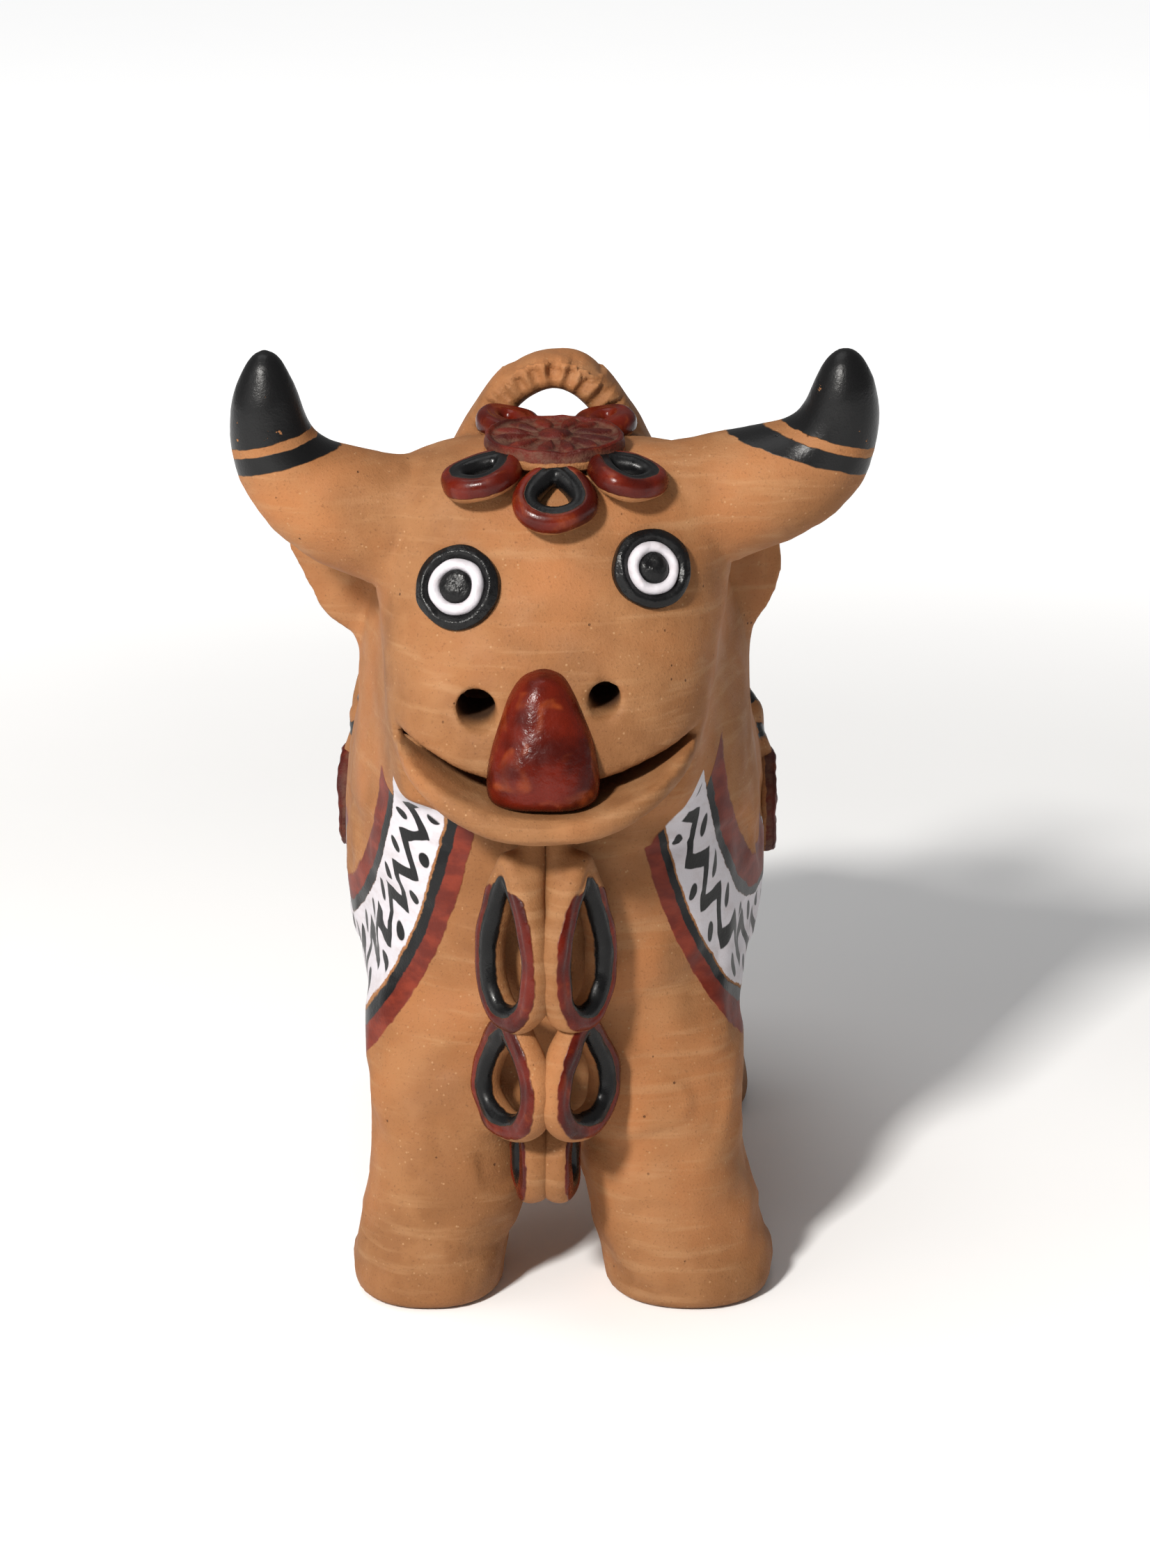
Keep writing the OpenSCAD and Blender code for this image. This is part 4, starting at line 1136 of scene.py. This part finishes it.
def model_body(clay_paint):
    clay = model_clay()
    points, quads = surface_nets(clay.grid, clay.field)
    points = relax(points, quads, clay.grid, clay.field)
    names = list(clay.near)
    middle = points[quads].mean(1)
    distance = np.full((len(names), len(quads)), 1e3)
    corner_distance = np.full((len(names), len(points)), 1e3)
    for row, name in enumerate(names):
        part, values = clay.near[name]
        high = part.low + part.step * (part.count - 1)
        here = ((middle > part.low) & (middle < high)).all(1)
        distance[row, here] = part.sample(values, middle[here])
        here = ((points > part.low) & (points < high)).all(1)
        corner_distance[row, here] = part.sample(values, points[here])
    labels = smooth_labels(quads, distance.argmin(0), len(names), len(points))
    owner = np.array(names)[corner_distance.argmin(0)]
    # The hand's unevenness, and the furrow where each horn was luted on
    rest = corner_normals(points, quads)
    low = np.clip(points[:, 2] / 6, 0, 1)
    uneven = 0.34 * ripple(points, 24, 3) + 0.13 * ripple(points, 8, 4)
    horn = corner_distance[[names.index("horn_left"), names.index("horn_right")]].min(0)
    head = corner_distance[names.index("head")]
    seam = np.exp(-((horn - head) / 0.9) ** 2) * np.clip(0.35 + ripple(points, 14, 8), 0, 1)
    seam *= np.clip((-points[:, 1] + 5) / 12, 0, 1)
    points = points + ((uneven * 0.6 - 0.75 * seam) * low)[:, None] * rest
    normals = corner_normals(points, quads)
    marks = {**band_marks(points), **horn_marks(points, owner), **nostril_marks(points)}
    for row, name in enumerate(names):
        piece = take(points, quads, normals, marks, labels == row)
        if name == "handle":
            piece = halve(piece)
            edge = np.unique(rim_edges(piece.quads))
            dent = handle_gouges(piece.points, piece.normals)
            dent[edge] = 0
            kept = piece.normals[edge]
            piece.points = piece.points + dent[:, None] * piece.normals
            piece.normals = corner_normals(piece.points, piece.quads)
            piece.normals[edge] = kept
        if name == "back_strip":
            piece.marks["strip_dabs"] = strip_marks(piece.points, strip_rows(clay))
        if name in SHELLED:
            piece = close_with_shell(piece, SHELLED[name])
        else:
            piece = close_with_caps(piece)
        place(piece, name, clay_paint)


# ---- Ornaments ----------------------------------------------------------------------


def turn(axis, degrees):
    """Turning about an axis, as a 3 x 3 array."""
    return np.array(Matrix.Rotation(math.radians(degrees), 3, axis))


def carry(piece, spin, shift):
    piece.points = piece.points @ spin.T + shift
    if piece.normals is not None:
        piece.normals = piece.normals @ spin.T
    return piece


def coil_loop(length, width, coil, coil_w, seed, extra=None):
    """A drop-shaped coil that hangs from the origin along -Y. Its painted face looks to +Z.
    Extra is the field of a bare strand of clay that is joined to it."""
    t = np.radians(np.linspace(4, 180, 40))
    aside = (width - coil) / 2 / 0.787 * np.sin(t) * np.sin(t / 2) ** 0.9
    down = -coil / 2 - (length - coil) / 2 * (1 - np.cos(t))
    low = np.array([-width / 2, -length, -coil_w / 2]) - 1.5
    high = np.array([width / 2, coil / 2, coil_w / 2]) + 1.5
    if extra:
        low, high = low - [0, 0, 6], high + [0, 7, 0]
    grid = Grid(low, high, 0.42)
    p = grid.points()
    x, y, z = np.abs(p[..., 0]), p[..., 1], p[..., 2]
    off = np.full(x.shape, 1e9)
    for i in range(len(t) - 1):
        a = np.array([aside[i], down[i]])
        b = np.array([aside[i + 1], down[i + 1]])
        run = b - a
        s = np.clip(((x - a[0]) * run[0] + (y - a[1]) * run[1]) / (run @ run), 0, 1)
        off = np.minimum(off, np.hypot(x - a[0] - s * run[0], y - a[1] - s * run[1]))
    hole = (x < np.interp(-y, -down, aside)) & (y < down[0]) & (y > down[-1])
    inner = np.where(hole, off, -off)
    half, half_w = coil / 2, coil_w / 2
    field = oval(inner / half, z / half_w, 2.3) * min(half, half_w)
    field = field + 0.16 * ripple(p, 7, seed, 8)
    field = field + 0.3 * np.exp(-((inner - 0.1) / 0.5) ** 2) * np.clip(z / half_w, 0, 1)
    bare = np.zeros(x.shape)
    if extra:
        strand = extra(p)
        bare = np.clip((field - strand) / 0.8 + 0.5, 0, 1)
        field = smooth_min(field, strand, 2.2)
    points, quads = surface_nets(grid, field)
    points = relax(points, quads, grid, field, 2)
    piece = Piece(points, quads)
    piece.normals = corner_normals(points, quads)
    face = points[:, 2] / half_w - 3 * grid.sample(bare, points)
    piece.marks = {"coil_inner": grid.sample(inner, points) / half, "coil_face": face}
    return piece


def forehead_loops(material):
    floor = HEAD_Z - 1.8
    for seed, (name, (around, lean, width, lift)) in enumerate(BROW_PLAN.items()):
        piece = coil_loop(BROW_LOOP_L, width, BROW_COIL + 0.5, BROW_COIL + 0.4, 20 + seed)
        piece.marks["coil_face"] += 0.4
        # The loops at the back are glazed red all over
        piece.marks["coil_inner"] += -2 if "back" in name else 0.15
        carry(piece, turn("X", lean), (0, (5.4 if "back" in name else 4.4) - CROWN_D / 2, 0))
        carry(piece, turn("Z", around), (0, CROWN_Y, floor + lift))
        place(piece, "forehead_loop_" + name, material)


def chest_loops(material):
    for seed, (level, (top, length, width, faced, bedded)) in enumerate(CHEST_LOOP_PLAN.items()):
        for name, side in SIDES.items():
            angle = math.radians(faced)
            forward = math.cos(angle) * width / 2
            aside = (math.sin(angle) * (width - CHEST_COIL) / 2
                     + math.cos(angle) * CHEST_COIL_W * 0.45) - 0.5
            spin = turn("X", -CHEST_LEAN) @ turn("Z", side * (90 - faced)) @ turn("X", 90)
            shift = np.array([JAW_MID + side * aside, CHEST_Y + bedded - forward, top])
            strand = None
            if level == "upper":
                # The coil's end runs on up the middle, to the underside of the jaw
                rows = [[JAW_MID + side * out, CHEST_Y - ahead, top + rise, thick, thick]
                        for out, ahead, rise, thick in UPPER_STRAND]

                def strand(p, rows=rows, spin=spin, shift=shift):
                    return strap(rows, [1, 0, 0], 2, p @ spin.T + shift)[0]

            piece = coil_loop(length, width, CHEST_COIL, CHEST_COIL_W, 40 + 2 * seed + side, strand)
            # Bare at the pinched top; red only on the rim, and black on the outer side of the hole
            down = -piece.points[:, 1] / length
            inwards = -side * piece.points[:, 0] / (width / 2)
            pinched = 1.6 * (level == "upper")
            piece.marks["coil_face"] -= 0.72 + pinched * np.clip(1 - down / 0.24, 0, 1)
            piece.marks["coil_inner"] -= 0.55 * np.clip(inwards + 0.3, 0, 1)
            carry(piece, spin, shift)
            place(piece, f"chest_loop_{level}_{name}", material)


def disc_place(node, outward):
    """Turning and place of a CAD disc: its own Z points outward, and its floor is at zero."""
    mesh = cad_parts[node].data
    corners = np.array([v.co for v in mesh.vertices]) / MM
    middle = corners.mean(0)
    axis = np.linalg.svd(corners - middle, full_matrices=False)[2][2]
    axis = axis * np.sign(axis @ np.array(outward))
    side = unit(np.cross([0, 1, 0.2], axis))
    spin = np.column_stack([side, np.cross(axis, side), axis])
    return spin, middle + axis * ((corners - middle) @ axis).min()


def revolve(profile, sides, relief, closed):
    """A turned form. Relief gives each point's extra height from radius, turn and level; a
    closed profile makes a ring, and an open one runs from axis to axis."""
    angles = np.arange(sides) * 2 * math.pi / sides
    body = profile if closed else profile[1:-1]
    rings = []
    for r, z in body:
        rings.append(np.column_stack([r * np.cos(angles), r * np.sin(angles), np.full(sides, z)]))
    points = relief(np.vstack(rings))
    count = len(body)
    i, j = np.meshgrid(np.arange(count if closed else count - 1), np.arange(sides), indexing="ij")
    i, j = i.ravel(), j.ravel()
    after, turned = (i + 1) % count, (j + 1) % sides
    quads = np.column_stack([
        i * sides + j, i * sides + turned, after * sides + turned, after * sides + j])
    piece = Piece(points, quads)
    if not closed:
        ends = relief(np.array([[0, 0, profile[0][1]], [0, 0, profile[-1][1]]], float))
        piece.points = np.vstack([points, ends])
        k = np.arange(sides)
        first, last = len(points), len(points) + 1
        low = np.column_stack([(k + 1) % sides, k, np.full(sides, first)])
        high = np.column_stack([
            (count - 1) * sides + k, (count - 1) * sides + (k + 1) % sides, np.full(sides, last)])
        piece.triangles = np.vstack([low, high])
    return piece


def geometric_normals(piece):
    faces = np.vstack([piece.quads, np.column_stack([piece.triangles, piece.triangles[:, 2:]])])
    piece.normals = corner_normals(piece.points, faces)
    return piece


def rosette(diameter, thick, seed):
    """A disc with a button, a ring of raised petals and a raised rim."""
    edge = diameter / 2
    inner, outer = edge * 0.26 + 0.5, edge - 1.6
    rings = 44
    top = [(edge * (1 - k / rings), thick + 0.5) for k in range(1, rings + 1)]
    profile = [(0, 0), (edge * 0.5, 0), (edge - 0.5, 0), (edge - 0.1, 0.5), (edge, thick * 0.5),
               (edge - 0.05, thick * 0.8), (edge - 0.35, thick + 0.3)] + top

    def height(r, a):
        turns = (a / (2 * math.pi) * PETALS + 0.12 * np.sin(3 * a + seed)) % 1 - 0.5
        half = 0.34 + 0.04 * np.sin(7 * a)
        reach = (r - (inner + outer) / 2) / ((outer - inner) / 2)
        petal = np.clip(1 - reach ** 2 - (turns / half) ** 2 * (1 + 0.4 * reach ** 2), 0, 1) ** 0.6
        button = np.clip(1 - (r / (edge * 0.24)) ** 2, 0, 1) ** 0.5
        rim = np.exp(-((r - (edge - 0.75)) / 0.55) ** 2)
        return np.maximum.reduce([0.85 * petal, 1.25 * button, 0.75 * rim])

    def relief(p):
        r = np.hypot(p[:, 0], p[:, 1])
        a = np.arctan2(p[:, 1], p[:, 0])
        up = p[:, 2] > thick + 0.2
        worn = 0.10 * ripple(p, 3.0, seed) + 0.16 * ripple(p, 9, seed + 1)
        out = p.copy()
        out[:, 2] += np.where(up, height(r, a) - 0.35 + worn, 0)
        swell = 1 + 0.012 * ripple(p * [1, 1, 0], 11, seed + 2)
        out[:, :2] *= swell[:, None]
        return out

    piece = geometric_normals(revolve(profile, 180, relief, False))
    r = np.hypot(piece.points[:, 0], piece.points[:, 1])
    a = np.arctan2(piece.points[:, 1], piece.points[:, 0])
    below = thick * 0.75 - piece.points[:, 2]
    piece.marks = {"petal_level": height(r, a), "disc_edge": np.clip(below / 1.2, 0, 1)}
    return piece


def rosettes(material):
    discs = (("forehead_rosette", CROWN_D, CROWN_T, (0, 0, 1)),
             ("flank_rosette_left", FLANK_D, FLANK_T, (LEFT, 0, 0)),
             ("flank_rosette_right", FLANK_D, FLANK_T, (RIGHT, 0, 0)))
    for seed, (node, diameter, thick, outward) in enumerate(discs):
        piece = rosette(diameter, thick, 60 + 5 * seed)
        place(carry(piece, *disc_place(node, outward)), node, material)


def ring_profile(outer, inner, height, grooves=0):
    """A coil bent into a ring, from its inside over its top."""
    middle, half = (outer + inner) / 2, (outer - inner) / 2
    profile = [(inner, 0.0)]
    profile += [(middle, 0.0), (outer, 0.0)]
    for k in range(25):
        a = math.pi * k / 24
        dip = 0.22 * math.sin(a * 2 * grooves) ** 2 if grooves else 0
        crown = (height * 0.45 - dip) * math.sin(a)
        profile.append((middle + half * math.cos(a), height * 0.55 + crown))
    return profile


def eyes(dark, pale):
    for name, side in SIDES.items():
        size = 1.0 if side == LEFT else RIGHT_EYE
        spin, floor = disc_place("eye_ring_" + name, (0, -1, 0))
        parts = {
            "ring": (ring_profile(7.75 * size, 5.0 * size, 2.5, 1), True, dark, "black_glaze"),
            "white": (ring_profile(5.15 * size, 2.95 * size, 3.1), True, pale, "white_slip")}
        pupil = [(0, 0), (2.2 * size, 0), (2.95 * size, 0.3)]
        pupil += [(3.0 * size * math.cos(a), 2.3 + 1.15 * math.sin(a))
                  for a in np.linspace(0, 1.45, 14)]
        parts["pupil"] = (pupil + [(0, 3.45)], False, dark, "black_glaze")
        for seed, (part, (profile, closed, material, slot)) in enumerate(parts.items()):

            def relief(p, seed=seed):
                wobble = ripple(p, 5.5, 80 + 7 * seed + side)
                out = p * (1 + 0.018 * wobble)[:, None]
                out[:, 2] = p[:, 2] * (1 + 0.05 * ripple(p, 3.5, 90 + seed + side))
                return out

            piece = geometric_normals(revolve(profile, 96, relief, closed))
            place(carry(piece, spin, floor), f"eye_{part}_{name}", material)


def tongue(material):
    floor, top = LIP_Z - MOUTH_GAP, NOSTRIL_Z + 7
    rows = []
    for share, wide, deep in TONGUE_PLAN:
        z = floor + share * (top - floor)
        front = face_y(JAW_MID, z) - deep * TONGUE_T
        rows.append([z, front, MUZZLE_Y + 6 + 8 * share, wide * TONGUE_W / 2, JAW_MID - 0.4])
    grid = Grid((-16, -82, 98), (12, -50, 131), 0.55)
    field = as_distance(upright(rows, 2.3, grid.axes(), 2.2), grid.step)
    field = field + 0.15 * ripple(grid.points(), 12, 12)
    points, quads = surface_nets(grid, field)
    piece = Piece(relax(points, quads, grid, field, 2), quads)
    place(geometric_normals(piece), "tongue", material)


# ---- Stage --------------------------------------------------------------------------


def plain_floor():
    mesh = bpy.data.meshes.new("floor")
    reach = 9
    corners = [(x * reach, y * reach, 0) for x, y in ((-1, -1), (1, -1), (1, 1), (-1, 1))]
    mesh.from_pydata(corners, [], [(0, 1, 2, 3)])
    floor = bpy.data.objects.new("floor", mesh)
    floor.location.z = -0.1 * MM
    bpy.context.scene.collection.objects.link(floor)
    paint = Paint("pale_floor")
    tone = paint.mix(paint.noise(90, 2), (0.93, 0.93, 0.93, 1), (0.96, 0.96, 0.96, 1))
    length = paint.tree.nodes.new("ShaderNodeVectorMath")
    length.operation = "LENGTH"
    paint.feed(length.inputs[0], paint.place)
    # Far from the figure the floor glows a little, so that it stays as pale as it is near by
    glow = paint.ramp(length.outputs["Value"], 0.22, 0.85, 0, 0.7)
    paint.feed(paint.shader.inputs["Emission Strength"], glow)
    floor.data.materials.append(paint.finish(tone, 0.8, 0.2))


def lamp(name, place_at, look_at, size, power, colour=(1, 1, 1)):
    light = bpy.data.lights.new(name, "AREA")
    light.size = size
    light.energy = power
    light.color = colour
    thing = bpy.data.objects.new(name, light)
    thing.location = place_at
    way = Vector(look_at) - Vector(place_at)
    thing.rotation_euler = way.to_track_quat("-Z", "Y").to_euler()
    bpy.context.scene.collection.objects.link(thing)


def studio():
    middle = (0, 0, 0.09)
    lamp("key", (-0.56, -1.02, 0.92), middle, 0.16, 26, (1.0, 0.97, 0.93))
    lamp("fill", (-1.3, -0.9, 0.7), middle, 1.2, 4)
    lamp("top", (-0.4, 0.1, 1.6), middle, 1.0, 6)
    world = bpy.data.worlds.new("studio")
    world.use_nodes = True
    world.node_tree.nodes["Background"].inputs["Color"].default_value = (1, 1, 1, 1)
    world.node_tree.nodes["Background"].inputs["Strength"].default_value = 0.22
    bpy.context.scene.world = world
    bpy.context.scene.view_settings.view_transform = "Standard"


def camera():
    """Long lens, a little above the figure and looking down on it."""
    down = math.radians(17)
    target = Vector((0, 0.008, 0.088))
    data = bpy.data.cameras.new("camera")
    data.sensor_width = 36
    data.lens = 80.4
    data.shift_x = 0.0129
    data.shift_y = -0.0176
    thing = bpy.data.objects.new("camera", data)
    thing.location = target + 0.7 * Vector((0, -math.cos(down), math.sin(down)))
    thing.rotation_euler = (math.radians(90) - down, 0, 0)
    bpy.context.scene.collection.objects.link(thing)
    bpy.context.scene.camera = thing


camera()
studio()
plain_floor()
model_body(clay_material())
coil_paint = loop_material("glazed_coil")
forehead_loops(coil_paint)
chest_loops(coil_paint)
rosettes(rosette_material())
eyes(black_material(), white_material())
tongue(tongue_material())
